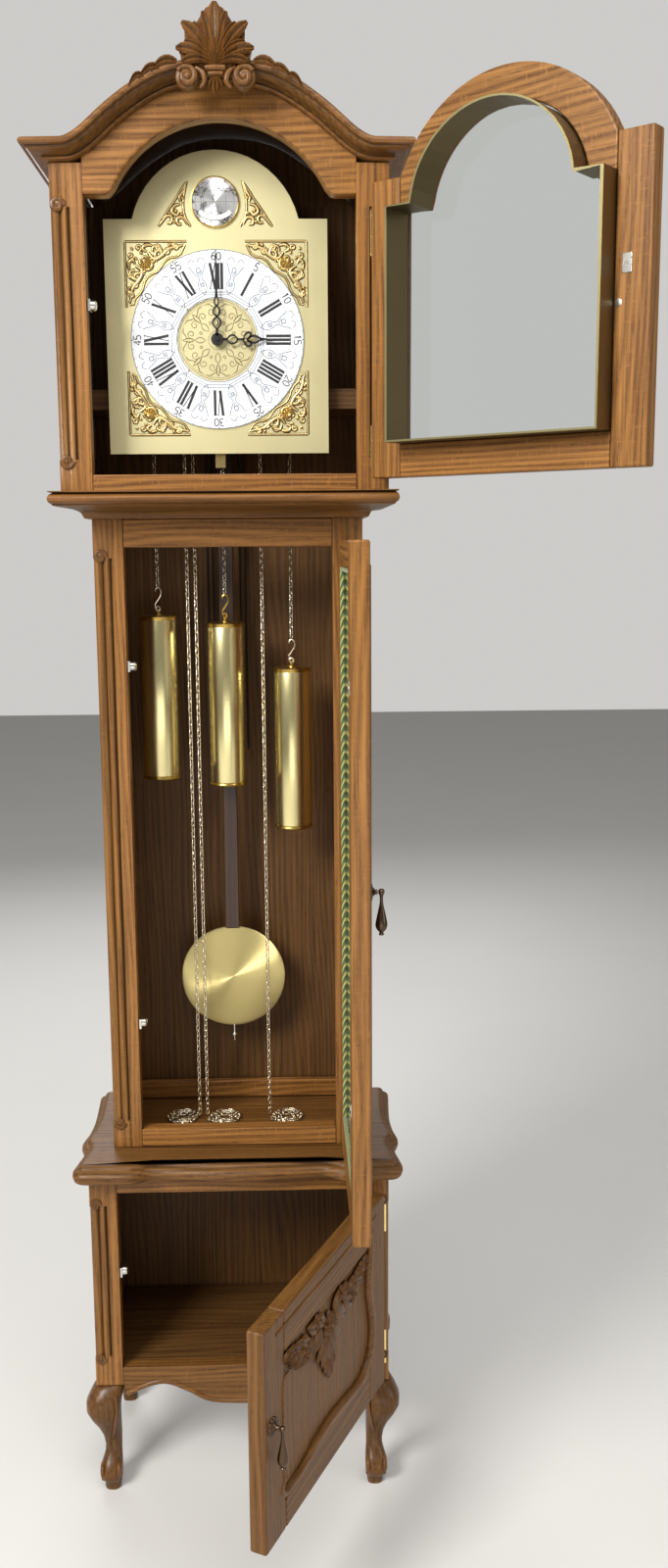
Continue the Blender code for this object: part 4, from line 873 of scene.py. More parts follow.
def makeWaist():
    # torus over a cove, carried round three sides under the hood
    low, high = caseBox("waist_moulding")
    half = trunkSettings["openingHalf"] + 0.0384
    front = caseBox("trunk_front_frame")[0].y
    step = high.x - half
    top = high.z - low.z
    profile = [(-0.012, 0.0), (0.004, 0.0), (0.0075, 0.001), (0.0082, 0.003), (0.009, 0.0044)]
    profile += [(0.009 + (step - 0.0135) * (1 - math.cos(a)), 0.0044 + 0.0098 * math.sin(a))
                for a in (0.25, 0.5, 0.8, 1.1, 1.4)]
    profile += [(step - 0.0045, 0.0152), (step - 0.0045, 0.0162)]
    profile += [(step - 0.0072 + u, v) for u, v in arc((0.0, top - 0.0092), 0.0072, -72, 72, 9)]
    profile += [(step - 0.005, top - 0.0016), (step - 0.0006, top - 0.0012), (step - 0.0006, top),
        (-0.012, top)]
    reach = (front + step + 0.0003) / step
    back = high.y
    up = (0, 0, 1)
    stations = [((-half, back, low.z), (-1, 0, 0), up), ((-half, front, low.z), (-1, -reach, 0), up),
                ((half, front, low.z), (1, -reach, 0), up), ((half, back, low.z), (1, 0, 0), up)]
    shape = Shape().moulding(profile, stations)
    shape.block((-half + 0.008, back - 0.014, low.z), (half - 0.008, back - 0.0005, high.z))
    fit(shape, "waist_torus", "case", "oakMoulded", stands=("waist_moulding",))


print("trunk")
makeTrunk()
makeWaist()

hoodSettings = {
    "openingHalf": 0.163, "bottomRail": 0.0205, "shoulder": caseBox("cornice")[0].z - 0.036,
    "archHalf": 0.13, "archRise": 0.086, "reedLow": 1.4, "reedHigh": 1.692, "lip": 0.0042,
}


def corniceHeight(x):
    # the cornice's underside: flat at the ends, then an ogee up to a broad crown
    low, high = caseBox("cornice")
    rise = high.z - low.z - 0.022
    half = caseBox("hood_front_frame")[1].x
    shape = [(0.0, 0.0), (0.14, 0.01), (0.25, 0.15), (0.42, 0.5), (0.56, 0.73), (0.7, 0.9),
             (0.85, 0.98), (1.0, 1.0)]
    total = 0.0
    for shift, weight in ((-0.012, 1), (-0.006, 2), (0.0, 3), (0.006, 2), (0.012, 1)):
        share = 1.0 - min(abs(x + shift) / half, 1.0)
        for (s0, h0), (s1, h1) in zip(shape, shape[1:]):
            if share <= s1:
                total += weight * (h0 + (h1 - h0) * (share - s0) / (s1 - s0))
                break
    return low.z + rise * total / 9


def archCircle(shoulder, archHalf, rise):
    # height of the centre, radius, and the angle at which the arch meets its shoulder
    radius = (archHalf ** 2 + rise ** 2) / (2 * rise)
    centreZ = shoulder + rise - radius
    return centreZ, radius, math.degrees(math.atan2(shoulder - centreZ, archHalf))


def makeHood():
    low, high = caseBox("hood_front_frame")
    settings = hoodSettings
    half = settings["openingHalf"]
    shoulder = settings["shoulder"]
    stileTop = caseBox("cornice")[0].z - 0.0004
    for side, where in ((-1, "left"), (1, "right")):
        makeStile(f"hood_stile_{where}", (low, Vector((high.x, high.y, stileTop))), half, side,
            settings["reedLow"], settings["reedHigh"], 0.0096, ("hood_front_frame",) if side < 0 else ())
    rail = Shape().block((-half, low.y + 0.0004, low.z), (half, high.y, low.z + settings["bottomRail"]))
    fit(rail, "hood_bottom_rail", "case", "oakAcross", bevel=0.0016)
    # the arched head, its opening edge rounded over
    rise = settings["archRise"]
    archHalf = settings["archHalf"]
    centreZ, radius, reach = archCircle(shoulder, archHalf, rise)
    crown = arc((0.0, centreZ), radius, 180 - reach, reach, 36)
    steps = 40
    upper = [(half - 2 * half * i / steps, corniceHeight(half - 2 * half * i / steps) - 0.0004)
        for i in range(steps + 1)]
    ease = [(-archHalf - 0.007, shoulder), (-archHalf - 0.0025, shoulder + 0.0015)]
    lower = [(-half, shoulder), *ease, *crown[1:-1], *[(-x, z) for x, z in reversed(ease)],
        (half, shoulder)]
    rings = []
    lip = settings["lip"]
    for depth, share in ((high.y, 0.0), (low.y + lip, 0.0), (low.y + lip * 0.45, 0.16),
            (low.y + lip * 0.12, 0.55), (low.y + 0.0004, 1.0)):
        ring = []
        for x, z in lower:
            away = Vector((x, z - centreZ))
            away = away.normalized() if abs(x) < archHalf + 0.001 else Vector((0.0, 1.0))
            ring.append((x + away.x * lip * share * (abs(x) < half - 0.001), depth,
                z + away.y * lip * share))
        ring += [(x, depth, z) for x, z in upper]
        rings.append(ring)
    fit(Shape().loft(rings), "hood_arched_head", "case", "oakAcross")
    makeCarcass("hood_carcass", "hood", "oakSideShaded", "oakInsideShaded", stileTop)
    # the gable closes the back under the roof
    carcass = caseBox("hood_carcass")
    top = caseBox("cornice")[0].z - 0.0004
    inside = 0.18
    gable = [(-inside, top), (inside, top)] + [(inside - 2 * inside * i / steps,
        corniceHeight(inside - 2 * inside * i / steps) - 0.0006) for i in range(steps + 1)]
    fit(Shape().slab(gable, carcass[1].y - 0.008, carcass[1].y), "hood_gable", "case", "oakInsideShaded")
    keep("hood_roof", "oakInsideShaded")


def makeCornice():
    low, high = caseBox("cornice")
    front = caseBox("hood_front_frame")[0].y
    half = caseBox("hood_front_frame")[1].x
    profile = [(-0.02, 0.0), (0.0035, 0.0), (0.0062, 0.001), (0.0074, 0.0028), (0.0064, 0.0046),
        (0.0078, 0.0058), (0.0125, 0.0066), (0.0175, 0.008), (0.0214, 0.01), (0.023, 0.0118),
        (0.0232, 0.0128), (0.0262, 0.0128), (0.0288, 0.014), (0.03, 0.0166), (0.0292, 0.0194),
        (0.0268, 0.0212), (0.0235, 0.022), (-0.02, 0.022)]
    straight = half - 0.024
    count = 56
    up = Vector((0, 0, 1))
    stations = [((-half, high.y, low.z), (-1, 0, 0), up), ((-half, front, low.z), (-1, -1, 0), up)]
    across = [-straight + 2 * straight * i / count for i in range(count + 1)]
    points = [(x, corniceHeight(x)) for x in across]
    for i, (x, z) in enumerate(points):
        before = points[max(i - 1, 0)]
        after = points[min(i + 1, count)]
        along = Vector((after[0] - before[0], 0, after[1] - before[1])).normalized()
        stations.append(((x, front, z), (0, -1, 0), Vector((-along.z, 0, along.x))))
    stations += [((half, front, low.z), (1, -1, 0), up), ((half, high.y, low.z), (1, 0, 0), up)]
    fit(Shape().moulding(profile, stations), "cornice_moulding", "case", "oakMoulded", stands=("cornice",))


finialSettings = {
    # angle from upright, length, half width: the palmette's flutes
    "flutes": ((0, 0.069, 0.0092), (13, 0.06, 0.0062), (27, 0.053, 0.0058), (38, 0.0605, 0.0072),
        (52, 0.044, 0.0054), (66, 0.049, 0.0068), (83, 0.0385, 0.0056)),
    "sprays": ((0.02, 0.03, 0.0055), (0.04, 0.024, 0.0048), (0.058, 0.018, 0.0038)),
}


def makeFinial():
    low, high = caseBox("finial_carving")
    top = high.z
    front = low.y
    back = high.y
    shape = Shape()
    centre = Vector((0.0, front + 0.0035, top - 0.07))
    facing = (0, -1, 0)
    # the shell's ground
    ground = [(0.0115, 0.0), (0.03, 0.005), (0.0395, 0.0105), (0.042, 0.0185), (0.034, 0.024),
        (0.0345, 0.033), (0.0345, 0.0455), (0.023, 0.044), (0.017, 0.053), (0.01, 0.063), (0.0, 0.068)]
    outline = [(x, centre.z + z) for x, z in ground] + [(-x, centre.z + z) for x,
        z in reversed(ground[:-1])]
    shape.slab(outline, front + 0.005, back)
    for angle, length, half in finialSettings["flutes"]:
        for side in ((1,) if angle == 0 else (-1, 1)):
            turn = math.radians(angle)
            spine = []
            for i in range(11):
                share = i / 10
                bend = turn * (0.55 + 0.45 * share)
                spine.append(centre + Vector((side * math.sin(bend) * length * share,
                    0.001 - 0.0045 * math.sin(math.pi * min(share * 0.85, 1.0)),
                    math.cos(bend) * length * share)))
            widths = [half * value for value in (0.34, 0.42, 0.52, 0.63, 0.75, 0.88, 0.98, 1.04, 1.0, 0.78,
                0.3)]
            shape.leaf(spine, widths, 0.0048, facing, 0.3)
    # collar, pendant leaf and the two volutes
    collarZ = centre.z - 0.001
    shape.tube([(-0.0115, front + 0.003, collarZ), (0.0, front + 0.0005, collarZ - 0.0006),
        (0.0115, front + 0.003, collarZ)], 0.0034, 10, 1.0, (0, -1, 0))
    shape.tube([(-0.0085, front + 0.003, collarZ - 0.0062), (0.0, front + 0.001, collarZ - 0.0066),
        (0.0085, front + 0.003, collarZ - 0.0062)], 0.0026, 10, 1.0, (0, -1, 0))
    pendantTop = collarZ - 0.008
    for lean, length, half in ((0.0, 0.0205, 0.0048), (-0.42, 0.0165, 0.0038), (0.42, 0.0165, 0.0038)):
        spine = [Vector((math.sin(lean) * length * s, front + 0.0035 - 0.002 * math.sin(math.pi * s),
            pendantTop - math.cos(lean) * length * s)) for s in (0.0, 0.2, 0.4, 0.6, 0.8, 1.0)]
        shape.leaf(spine, [half * v for v in (0.5, 0.7, 0.9, 1.0, 0.8, 0.25)], 0.0042, facing, 0.3)
    for side in (-1, 1):
        eye = (side * 0.0325, top - 0.08)
        coil = spiral(eye, 0.0118, 0.0028, 90 - side * 60, side * 1.45, 48)
        shape.tube(onFace(coil, front + 0.0035), taper(len(coil), 0.003, 0.0042, 0.0026), 10, 1.1, facing)
        shape.turned([(0.005, -0.002), (0.0048, 0.0022), (0.003, 0.0046), (0.0, 0.0054)],
            (eye[0], front + 0.004, eye[1]), "Y", 18)
        shape.turned([(0.0135, -0.011), (0.0135, 0.0), (0.0128, 0.0008)], (eye[0], front + 0.005, eye[1]),
            "Y", 28)
        # the arm from the volute to the collar, and leaf sprays lying on the cornice
        arm = smooth([(side * 0.023, front + 0.004, eye[1] + 0.01),
            (side * 0.015, front + 0.003, eye[1] + 0.004), (side * 0.0125, front + 0.003, eye[1] - 0.006),
            (side * 0.018, front + 0.004, eye[1] - 0.0125)], 5)
        shape.tube(arm, taper(len(arm), 0.002, 0.0034, 0.0016), 8, 1.0, facing)
        for start, length, half in finialSettings["sprays"]:
            spine = []
            for i in range(8):
                share = i / 7
                x = side * (0.024 + start + length * share)
                curl = 0.0045 * math.sin(math.pi * share)
                spine.append(Vector((x, front + 0.004 - 0.003 * math.sin(math.pi * share) - 0.0005,
                    corniceHeight(x) + 0.0155 + curl)))
            widths = [half * v for v in (0.5, 0.8, 1.0, 1.0, 0.9, 0.7, 0.5, 0.2)]
            shape.leaf(spine, widths, 0.0042, facing, 0.3)
    fit(shape, "finial_shell", "case", "oakCarved", stands=("finial_carving",), sharp=50)


print("hood")
makeHood()
makeCornice()
makeFinial()


# the dial's pieces are placed round the middle of its ring
dialBox = caseBox("dial_plate")
ringBox = caseBox("chapter_ring")
globeBox = caseBox("globe_disc")
dialCentre = Vector(((ringBox[0].x + ringBox[1].x) / 2, ringBox[0].y, (ringBox[0].z + ringBox[1].z) / 2))
plateFront = dialBox[0].y
ringFront = ringBox[0].y
dialSettings = {
    "numeralInner": 0.062, "numeralOuter": 0.0925, "thick": 0.0033, "thin": 0.001, "relief": 0.0003,
    "minuteRadius": 0.1013, "digitHeight": 0.0092, "digitWidth": 0.0055, "digitStroke": 0.0011,
    "tickInner": 0.1068, "tickOuter": 0.1088,
}
romanNumerals = ("XII", "I", "II", "III", "IIII", "V", "VI", "VII", "VIII", "IX", "X", "XI")
# strokes of each letter: (x at the foot, x at the head, thick)
romanStrokes = {"I": (0.0047, ((0.0, 0.0, True),)), "V": (0.0094,
    ((0.0004, -0.003, True), (0.0, 0.0032, False))), "X": (0.0092,
    ((0.0032, -0.0032, True), (-0.0032, 0.0032, False)))}
digitStrokes = {
    "0": [[(0.5, 1.0), (0.12, 0.82), (0.05, 0.5), (0.12, 0.18), (0.5, 0.0), (0.88, 0.18), (0.95, 0.5),
        (0.88, 0.82), (0.5, 1.0)]],
    "1": [[(0.25, 0.8), (0.55, 1.0), (0.55, 0.0)]],
    "2": [[(0.08, 0.76), (0.25, 0.96), (0.6, 1.0), (0.9, 0.8), (0.8, 0.52), (0.08, 0.0), (0.95, 0.0)]],
    "3": [[(0.08, 0.86), (0.4, 1.0), (0.85, 0.85), (0.75, 0.58), (0.4, 0.53), (0.85, 0.42), (0.9, 0.15),
        (0.45, 0.0), (0.06, 0.14)]],
    "4": [[(0.72, 0.0), (0.72, 1.0), (0.05, 0.3), (0.98, 0.3)]],
    "5": [[(0.88, 1.0), (0.2, 1.0), (0.14, 0.55), (0.5, 0.62), (0.9, 0.42), (0.85, 0.1), (0.45, 0.0),
        (0.06, 0.12)]],
    "6": [[(0.82, 0.94), (0.4, 0.9), (0.08, 0.5), (0.1, 0.15), (0.5, 0.0), (0.9, 0.2), (0.82, 0.5),
        (0.4, 0.56), (0.1, 0.34)]],
}


def onDial(angle, radius, across=0.0):
    # clockwise from twelve; across runs along the ring
    turn = math.radians(angle)
    outward = Vector((math.sin(turn), math.cos(turn)))
    along = Vector((math.cos(turn), -math.sin(turn)))
    place = outward * radius + along * across
    return (dialCentre.x + place.x, dialCentre.z + place.y)


def flatStroke(shape, path, width, front, height=None, closed=False):
    # a thin raised ribbon along a path of (x, z) points
    height = height or dialSettings["relief"]
    count = len(path)
    widths = width if isinstance(width, (list, tuple)) else [width] * count
    left = []
    right = []
    for i, point in enumerate(path):
        here = Vector(point)
        before = Vector(path[i - 1]) if i or closed else here
        after = Vector(path[(i + 1) % count]) if i < count - 1 or closed else here
        along = (after - before).normalized()
        normal = Vector((-along.y, along.x))
        bend = 1.0
        if before != here and after != here:
            first = (here - before).normalized()
            bend = 1.0 / max(0.55, abs(first.dot(along)))
        left.append(here + normal * widths[i] / 2 * bend)
        right.append(here - normal * widths[i] / 2 * bend)
    rings = []
    for a, b in zip(left, right):
        rings.append([(a.x, front + 0.0001, a.y), (a.x, front - height, a.y), (b.x, front - height, b.y),
            (b.x, front + 0.0001, b.y)])
    shape.loft(rings, closed)


def makeNumerals():
    settings = dialSettings
    shape = Shape()
    inner = settings["numeralInner"]
    outer = settings["numeralOuter"]
    for hour, text in enumerate(romanNumerals):
        total = sum(romanStrokes[letter][0] for letter in text)
        squeeze = min(1.0, 0.027 / total)
        cursor = -total / 2 * squeeze
        angle = hour * 30
        for letter in text:
            pitch, strokes = romanStrokes[letter]
            middle = cursor + pitch * squeeze / 2
            cursor += pitch * squeeze
            for foot, head, thick in strokes:
                width = (settings["thick"] if thick else settings["thin"]) * (0.8 if squeeze < 1
                    and thick else 1.0)
                path = [onDial(angle, inner, middle + foot * squeeze),
                    onDial(angle, outer, middle + head * squeeze)]
                flatStroke(shape, path, width, ringFront)
                ends = [(outer, head)] if letter == "V" else [(inner, foot), (outer, head)]
                for radius, place in ends:
                    reach = (0.0021 if thick else 0.0014) * max(squeeze, 0.8)
                    path = [onDial(angle, radius, middle + place * squeeze - reach),
                        onDial(angle, radius, middle + place * squeeze + reach)]
                    flatStroke(shape, path, 0.0007, ringFront)
    for step in range(12):
        angle = step * 30
        text = str(step * 5 or 60)
        wide = settings["digitWidth"]
        height = settings["digitHeight"]
        gap = 0.0011
        start = -(len(text) * wide + (len(text) - 1) * gap) / 2
        for k, digit in enumerate(text):
            for stroke in digitStrokes[digit]:
                path = smooth([(u, v) for u, v in stroke], 3) if digit not in "14" else stroke
                path = [onDial(angle, settings["minuteRadius"] - height / 2 + height * p[1],
                    start + k * (wide + gap) + wide * p[0]) for p in path]
                flatStroke(shape, path, settings["digitStroke"], ringFront)
    fit(shape, "dial_numerals", "case", "numeralBlack")


def petal(angle):
    # one lobe of the ring's tracery, between two numerals
    outline = [(0.0, 0.057), (0.0035, 0.0615), (0.005, 0.0665), (0.004, 0.072), (0.0016, 0.0765),
        (0.003, 0.0805), (0.0062, 0.085), (0.0088, 0.0905), (0.0112, 0.094)]
    return [[onDial(angle, radius, side * across) for across, radius in outline] for side in (-1, 1)]


def makeRingLines():
    settings = dialSettings
    lines = Shape()
    for radius, width in ((0.109, 0.0008), (0.0516, 0.0009)):
        flatStroke(lines, [onDial(5 * k, radius) for k in range(72)], width, ringFront, 0.0002, True)
    # twelve-sided tracery just inside the numerals
    for radius, width in ((0.06, 0.0008), (0.0566, 0.0007)):
        flatStroke(lines, [onDial(15 + 30 * k, radius) for k in range(12)], width, ringFront, 0.0002, True)
    for k in range(60):
        thick = 0.0013 if k % 5 == 0 else 0.0006
        flatStroke(lines, [onDial(6 * k, settings["tickInner"]), onDial(6 * k, settings["tickOuter"])],
            thick, ringFront, 0.0002)
    for k in range(12):
        angle = 15 + 30 * k
        for path in petal(angle):
            flatStroke(lines, smooth(path, 2), 0.0009, ringFront, 0.0002)
        # a floret inside each lobe and a small scallop under the minutes
        for lobe in range(4):
            turn = math.radians(90 * lobe + 45)
            centre = (0.0022 * math.cos(turn), 0.069 + 0.0022 * math.sin(turn))
            ring = [onDial(angle, centre[1] + 0.0011 * math.sin(a), centre[0] + 0.0011 * math.cos(a))
                    for a in (math.radians(60 * s) for s in range(6))]
            flatStroke(lines, ring, 0.0007, ringFront, 0.0002, True)
        bloom = [onDial(angle, 0.087 + 0.003 * math.sin(a), 0.0026 * math.cos(a))
            for a in (math.radians(45 * s) for s in range(8))]
        flatStroke(lines, bloom, 0.001, ringFront, 0.0002, True)
        for side in (-1, 1):
            curl = [onDial(angle, 0.08 + 0.0016 * s, side * (0.0006 + 0.0009 * s * s * 0.4))
                for s in range(4)]
            flatStroke(lines, curl, 0.0008, ringFront, 0.0002)
            # two scallops between neighbouring minutes
            scallop = [onDial(angle, 0.095 + 0.0062 * math.cos(math.radians(25 * s)),
                side * 0.0062 + 0.0056 * s / 3.6) for s in range(-3, 4)]
            flatStroke(lines, scallop, 0.0008, ringFront, 0.0002)
    fit(lines, "ring_tracery", "case", "ringLines")


def makeEngraving():
    # brown arabesques on the gilt centre: eight palmettes linked by scrolls
    shape = Shape()
    front = plateFront
    for radius, width in ((0.0485, 0.0006), (0.0462, 0.0004), (0.0115, 0.0005)):
        flatStroke(shape, [onDial(6 * k, radius) for k in range(60)], width, front, 0.0002, True)
    for k in range(8):
        angle = 45 * k
        for side in (-1, 1):
            coil = spiral((side * 0.0072, 0.033), 0.0056, 0.0014, 200 if side > 0 else -20, -side * 1.25,
                22)
            flatStroke(shape, [onDial(angle, r, x) for x, r in coil],
                taper(len(coil), 0.0005, 0.0009, 0.0006), front, 0.0002)
            leaf = smooth([(0.0, 0.015), (side * 0.0028, 0.0195), (side * 0.003, 0.024), (0.0, 0.029)], 4)
            flatStroke(shape, [onDial(angle, r, x) for x, r in leaf],
                taper(len(leaf), 0.0004, 0.0011, 0.0004), front, 0.0002)
            vein = smooth([(0.0, 0.029), (side * 0.002, 0.0345), (side * 0.0016, 0.04), (0.0, 0.0445)], 4)
            flatStroke(shape, [onDial(angle, r, x) for x, r in vein],
                taper(len(vein), 0.0004, 0.0012, 0.0004), front, 0.0002)
            frond = smooth([(side * 0.001, 0.038), (side * 0.006, 0.041), (side * 0.0105, 0.0435),
                (side * 0.015, 0.042)], 4)
            flatStroke(shape, [onDial(angle, r, x) for x, r in frond],
                taper(len(frond), 0.0005, 0.0012, 0.0003), front, 0.0002)
        bud = [onDial(angle + 22.5, 0.0225 + 0.0019 * math.sin(a), 0.0014 * math.cos(a))
            for a in (math.radians(45 * s) for s in range(8))]
        flatStroke(shape, bud, 0.0008, front, 0.0002, True)
    fit(shape, "centre_engraving", "case", "engraving")


def castStroke(cast, ground, path, widths):
    # a raised gilt line over a wider dark strip, which is painted shade at its foot
    facing = (0, -1, 0)
    cast.tube(onFace(path, plateFront - 0.0012), widths, 6, 0.8, facing)
    wide = [w + 0.0009 for w in widths] if isinstance(widths, list) else widths + 0.0009
    ground.tube(onFace(path, plateFront - 0.0001), wide, 6, 0.3, facing)


spandrelSettings = {
    # u and v run along a corner piece's two straight sides; runs are followed by their half widths
    "coils": ((0.012, 0.053, 0.005, 100, 1.3), (0.0076, 0.041, 0.0042, 250, -1.2),
        (0.0225, 0.035, 0.0044, 60, 1.2), (0.007, 0.064, 0.0034, 200, -1.1),
        (0.0075, 0.017, 0.004, 20, 1.2), (0.0205, 0.025, 0.0036, 300, -1.1)),
    "tendrils": (([(0.004, 0.074), (0.006, 0.066), (0.004, 0.06), (0.0022, 0.064)], 0.0007, 0.0016, 0.001),
        ([(0.012, 0.048), (0.0115, 0.04), (0.018, 0.038), (0.02, 0.044)], 0.0009, 0.0018, 0.001),
        ([(0.005, 0.034), (0.004, 0.026), (0.009, 0.022), (0.012, 0.027)], 0.0009, 0.0018, 0.001),
        ([(0.024, 0.034), (0.03, 0.033), (0.033, 0.03)], 0.001, 0.002, 0.0009)),
    "branches": (([(0.006, 0.068), (0.0085, 0.056), (0.017, 0.046), (0.021, 0.036), (0.013, 0.029)], 0.0009,
        0.0023, 0.0012), ([(0.017, 0.046), (0.008, 0.044), (0.006, 0.036), (0.012, 0.034)], 0.0018, 0.0016,
        0.0011)),
    "berries": ((0.0085, 0.0085), (0.0135, 0.02), (0.02, 0.0135), (0.0048, 0.026), (0.026, 0.0048),
        (0.004, 0.0555), (0.0555, 0.004)),
    "berry": ((0.0022, 0.0), (0.0019, 0.001), (0.0, 0.0017)),
    "fanEye": 0.0235,
    "fan": ((0, 0.023), (-28, 0.0205), (28, 0.0205), (-55, 0.0165), (55, 0.0165), (-86, 0.012),
        (86, 0.012)),
    "archScrolls": (([(0.0365, 0.021), (0.0405, 0.011), (0.044, 0.006), (0.0425, 0.001)], 0.0007, 0.0016,
        0.001), ([(0.043, -0.002), (0.05, -0.004), (0.054, -0.011), (0.048, -0.015), (0.0445, -0.011)],
        0.0008, 0.002, 0.0011), ([(0.035, -0.026), (0.04, -0.018), (0.047, -0.019), (0.047, -0.025),
        (0.042, -0.026)], 0.0008, 0.002, 0.0011), ([(0.069, -0.0265), (0.06, -0.016), (0.054, -0.018),
        (0.055, -0.024), (0.06, -0.024)], 0.0008, 0.0019, 0.0011)),
    "archBerries": ((0.04, 0.005), (0.041, -0.013), (0.051, -0.023), (0.049, -0.01)),
}


def makeSpandrels():
    cx = dialCentre.x
    cz = dialCentre.z
    cast = Shape()
    # ground gathers the dark strips of painted shade under the strokes
    ground = Shape()
    lift = plateFront - 0.0012
    facing = (0, -1, 0)
    # corner pieces: two straight sides, the third follows the ring
    legs = 0.079
    for sideX in (-1, 1):
        for sideZ in (-1, 1):
            cornerX = cx + sideX * 0.1137
            cornerZ = cz + sideZ * (0.119 if sideZ > 0 else 0.1165)

            def at(u, v):
                return (cornerX - sideX * u, cornerZ - sideZ * v)

            inner = []
            for i in range(15):
                turn = math.radians(19.0 + 52.0 * i / 14)
                reach = 0.1132 + 0.0022 * math.sin(6 * math.pi * i / 14) * (1 if 1 < i < 13 else 0)
                inner.append((cx + sideX * reach * math.cos(turn), cz + sideZ * reach * math.sin(turn)))
            outline = [at(0.0, 0.0), at(0.0, legs), *inner, at(legs - 0.002, 0.0)]

            def scroll(points, start, mid, end, rounds=5):
                path = smooth([at(u, v) for u, v in points], rounds)
                castStroke(cast, ground, path, taper(len(path), start, mid, end))

            for first, second in ((outline[1], outline[0]), (outline[0], outline[-1])):
                path = [first, ((first[0] + second[0]) / 2, (first[1] + second[1]) / 2), second]
                castStroke(cast, ground, path, 0.0008)
            rim = [at(0.004, legs - 0.003), *inner[1:-1], at(legs - 0.004, 0.004)]
            castStroke(cast, ground, rim, 0.0008)
            for u, v, size, start, turns in spandrelSettings["coils"]:
                coil = spiral((u, v), size, size * 0.25, start, turns, 14)
                scroll(coil, 0.0006, 0.0012, 0.0009, 1)
                scroll([(v, u) for u, v in coil], 0.0006, 0.0012, 0.0009, 1)
            for swap in (False, True):
                for run, start, mid, end in spandrelSettings["tendrils"]:
                    scroll([(v, u) if swap else (u, v) for u, v in run], start, mid, end)
            for run, start, mid, end in spandrelSettings["branches"]:
                for swap in (False, True):
                    scroll([(v, u) if swap else (u, v) for u, v in run], start, mid, end)
            for u, v in spandrelSettings["berries"]:
                px, pz = at(u, v)
                cast.turned(spandrelSettings["berry"], (px, lift, pz), "Y", 8)
            # a fan of leaves on the diagonal
            eye = spandrelSettings["fanEye"]
            for spread, length in spandrelSettings["fan"]:
                base = Vector(at(eye, eye))
                turn = math.radians(45 + spread)
                tip = Vector(at(eye + length * 0.62 * math.cos(turn), eye + length * 0.62 * math.sin(turn)))
                spine = [Vector((base.x + (tip.x - base.x) * s, lift - 0.0008 * math.sin(math.pi * s),
                    base.y + (tip.y - base.y) * s)) for s in (0.0, 0.3, 0.6, 0.85, 1.0)]
                cast.leaf(spine, [0.0007, 0.0018, 0.0024, 0.0018, 0.0004], 0.0018, facing, 0.3)
            px, pz = at(eye, eye)
            cast.turned([(0.0035, 0.0), (0.003, 0.0016), (0.0, 0.0026)], (px, lift, pz), "Y", 10)
    # the two tapering castings in the arch
    globeX = (globeBox[0].x + globeBox[1].x) / 2
    globeZ = (globeBox[0].z + globeBox[1].z) / 2
    for side in (-1, 1):

        def at(u, v):
            return (globeX + side * u, globeZ + v)

        inner = smooth([(0.031, -0.0284), (0.0375, -0.017), (0.0395, -0.006), (0.0385, 0.008),
            (0.0345, 0.0245)], 4)
        outer = smooth([(0.0345, 0.0245), (0.043, 0.013), (0.049, 0.0035), (0.0575, -0.008),
            (0.071, -0.0284)], 4)
        edge = [at(u, v) for u, v in [*inner, *outer[1:]]]
        castStroke(cast, ground, edge, 0.0009)
        for points, start, mid, end in spandrelSettings["archScrolls"]:
            path = smooth([at(u, v) for u, v in points], 5)
            castStroke(cast, ground, path, taper(len(path), start, mid, end))
        for u, v in spandrelSettings["archBerries"]:
            px, pz = at(u, v)
            cast.turned(spandrelSettings["berry"], (px, lift, pz), "Y", 8)
    fit(ground, "spandrel_grounds", "case", "footShadeBrass")
    fit(cast, "spandrels", "case", "castBrass", sharp=60)


def makeDialPins():
    shape = Shape()
    rim = caseBox("globe_disc")
    globeX = (rim[0].x + rim[1].x) / 2
    globeZ = (rim[0].z + rim[1].z) / 2
    radius = (rim[1].x - rim[0].x) / 2
    for angle in (45, 135, 225, 315):
        x, z = onDial(angle, 0.0535)
        shape.turned([(0.0014, 0.0), (0.0012, 0.0007), (0.0, 0.001)], (x, ringFront, z), "Y", 10)
    fit(shape, "dial_pins", "case", "rimBrass")
    # bead round the globe, with meridians, land lines and a plain ribbon
    bezel = Shape()
    bezel.tube([(globeX + (radius - 0.0008) * math.cos(a), rim[0].y + 0.0006,
        globeZ + (radius - 0.0008) * math.sin(a)) for a in (math.radians(6 * k) for k in range(60))],
        0.0011, 8, 1.0, None, True)
    fit(bezel, "globe_rim", "case", "rimBrass")
    ribbon = Shape()
    front = rim[0].y
    band = [(globeX + radius * 0.8 * math.sin(a), globeZ - radius * 0.62 * math.cos(a))
        for a in (math.radians(-52 + 8 * k) for k in range(14))]
    flatStroke(ribbon, band, 0.0062, front, 0.0005)
    fit(ribbon, "globe_ribbon", "case", "ringWhite")
    edge = Shape()
    for shift in (-0.0031, 0.0031):
        line = []
        for i, point in enumerate(band):
            here = Vector(point)
            along = heading(band, i)
            line.append(tuple(here + Vector((-along.y, along.x)) * shift))
        flatStroke(edge, line, 0.0005, front - 0.0004, 0.0003)
    for turn in (-60, -30, 0, 30, 60):
        share = math.sin(math.radians(turn))
        meridian = [(globeX + radius * 0.93 * share * math.cos(a), globeZ + radius * 0.93 * math.sin(a))
            for a in (math.radians(-90 + 15 * k) for k in range(13))]
        flatStroke(edge, meridian, 0.00035, front, 0.0002)
    for share in (-0.55, 0.0, 0.45, 0.8):
        reach = radius * 0.93 * math.sqrt(max(0.0, 1 - share * share))
        flatStroke(edge, [(globeX - reach, globeZ + radius * 0.93 * share),
            (globeX + reach, globeZ + radius * 0.93 * share)], 0.00035, front, 0.0002)
    fit(edge, "globe_lines", "case", "engraving")


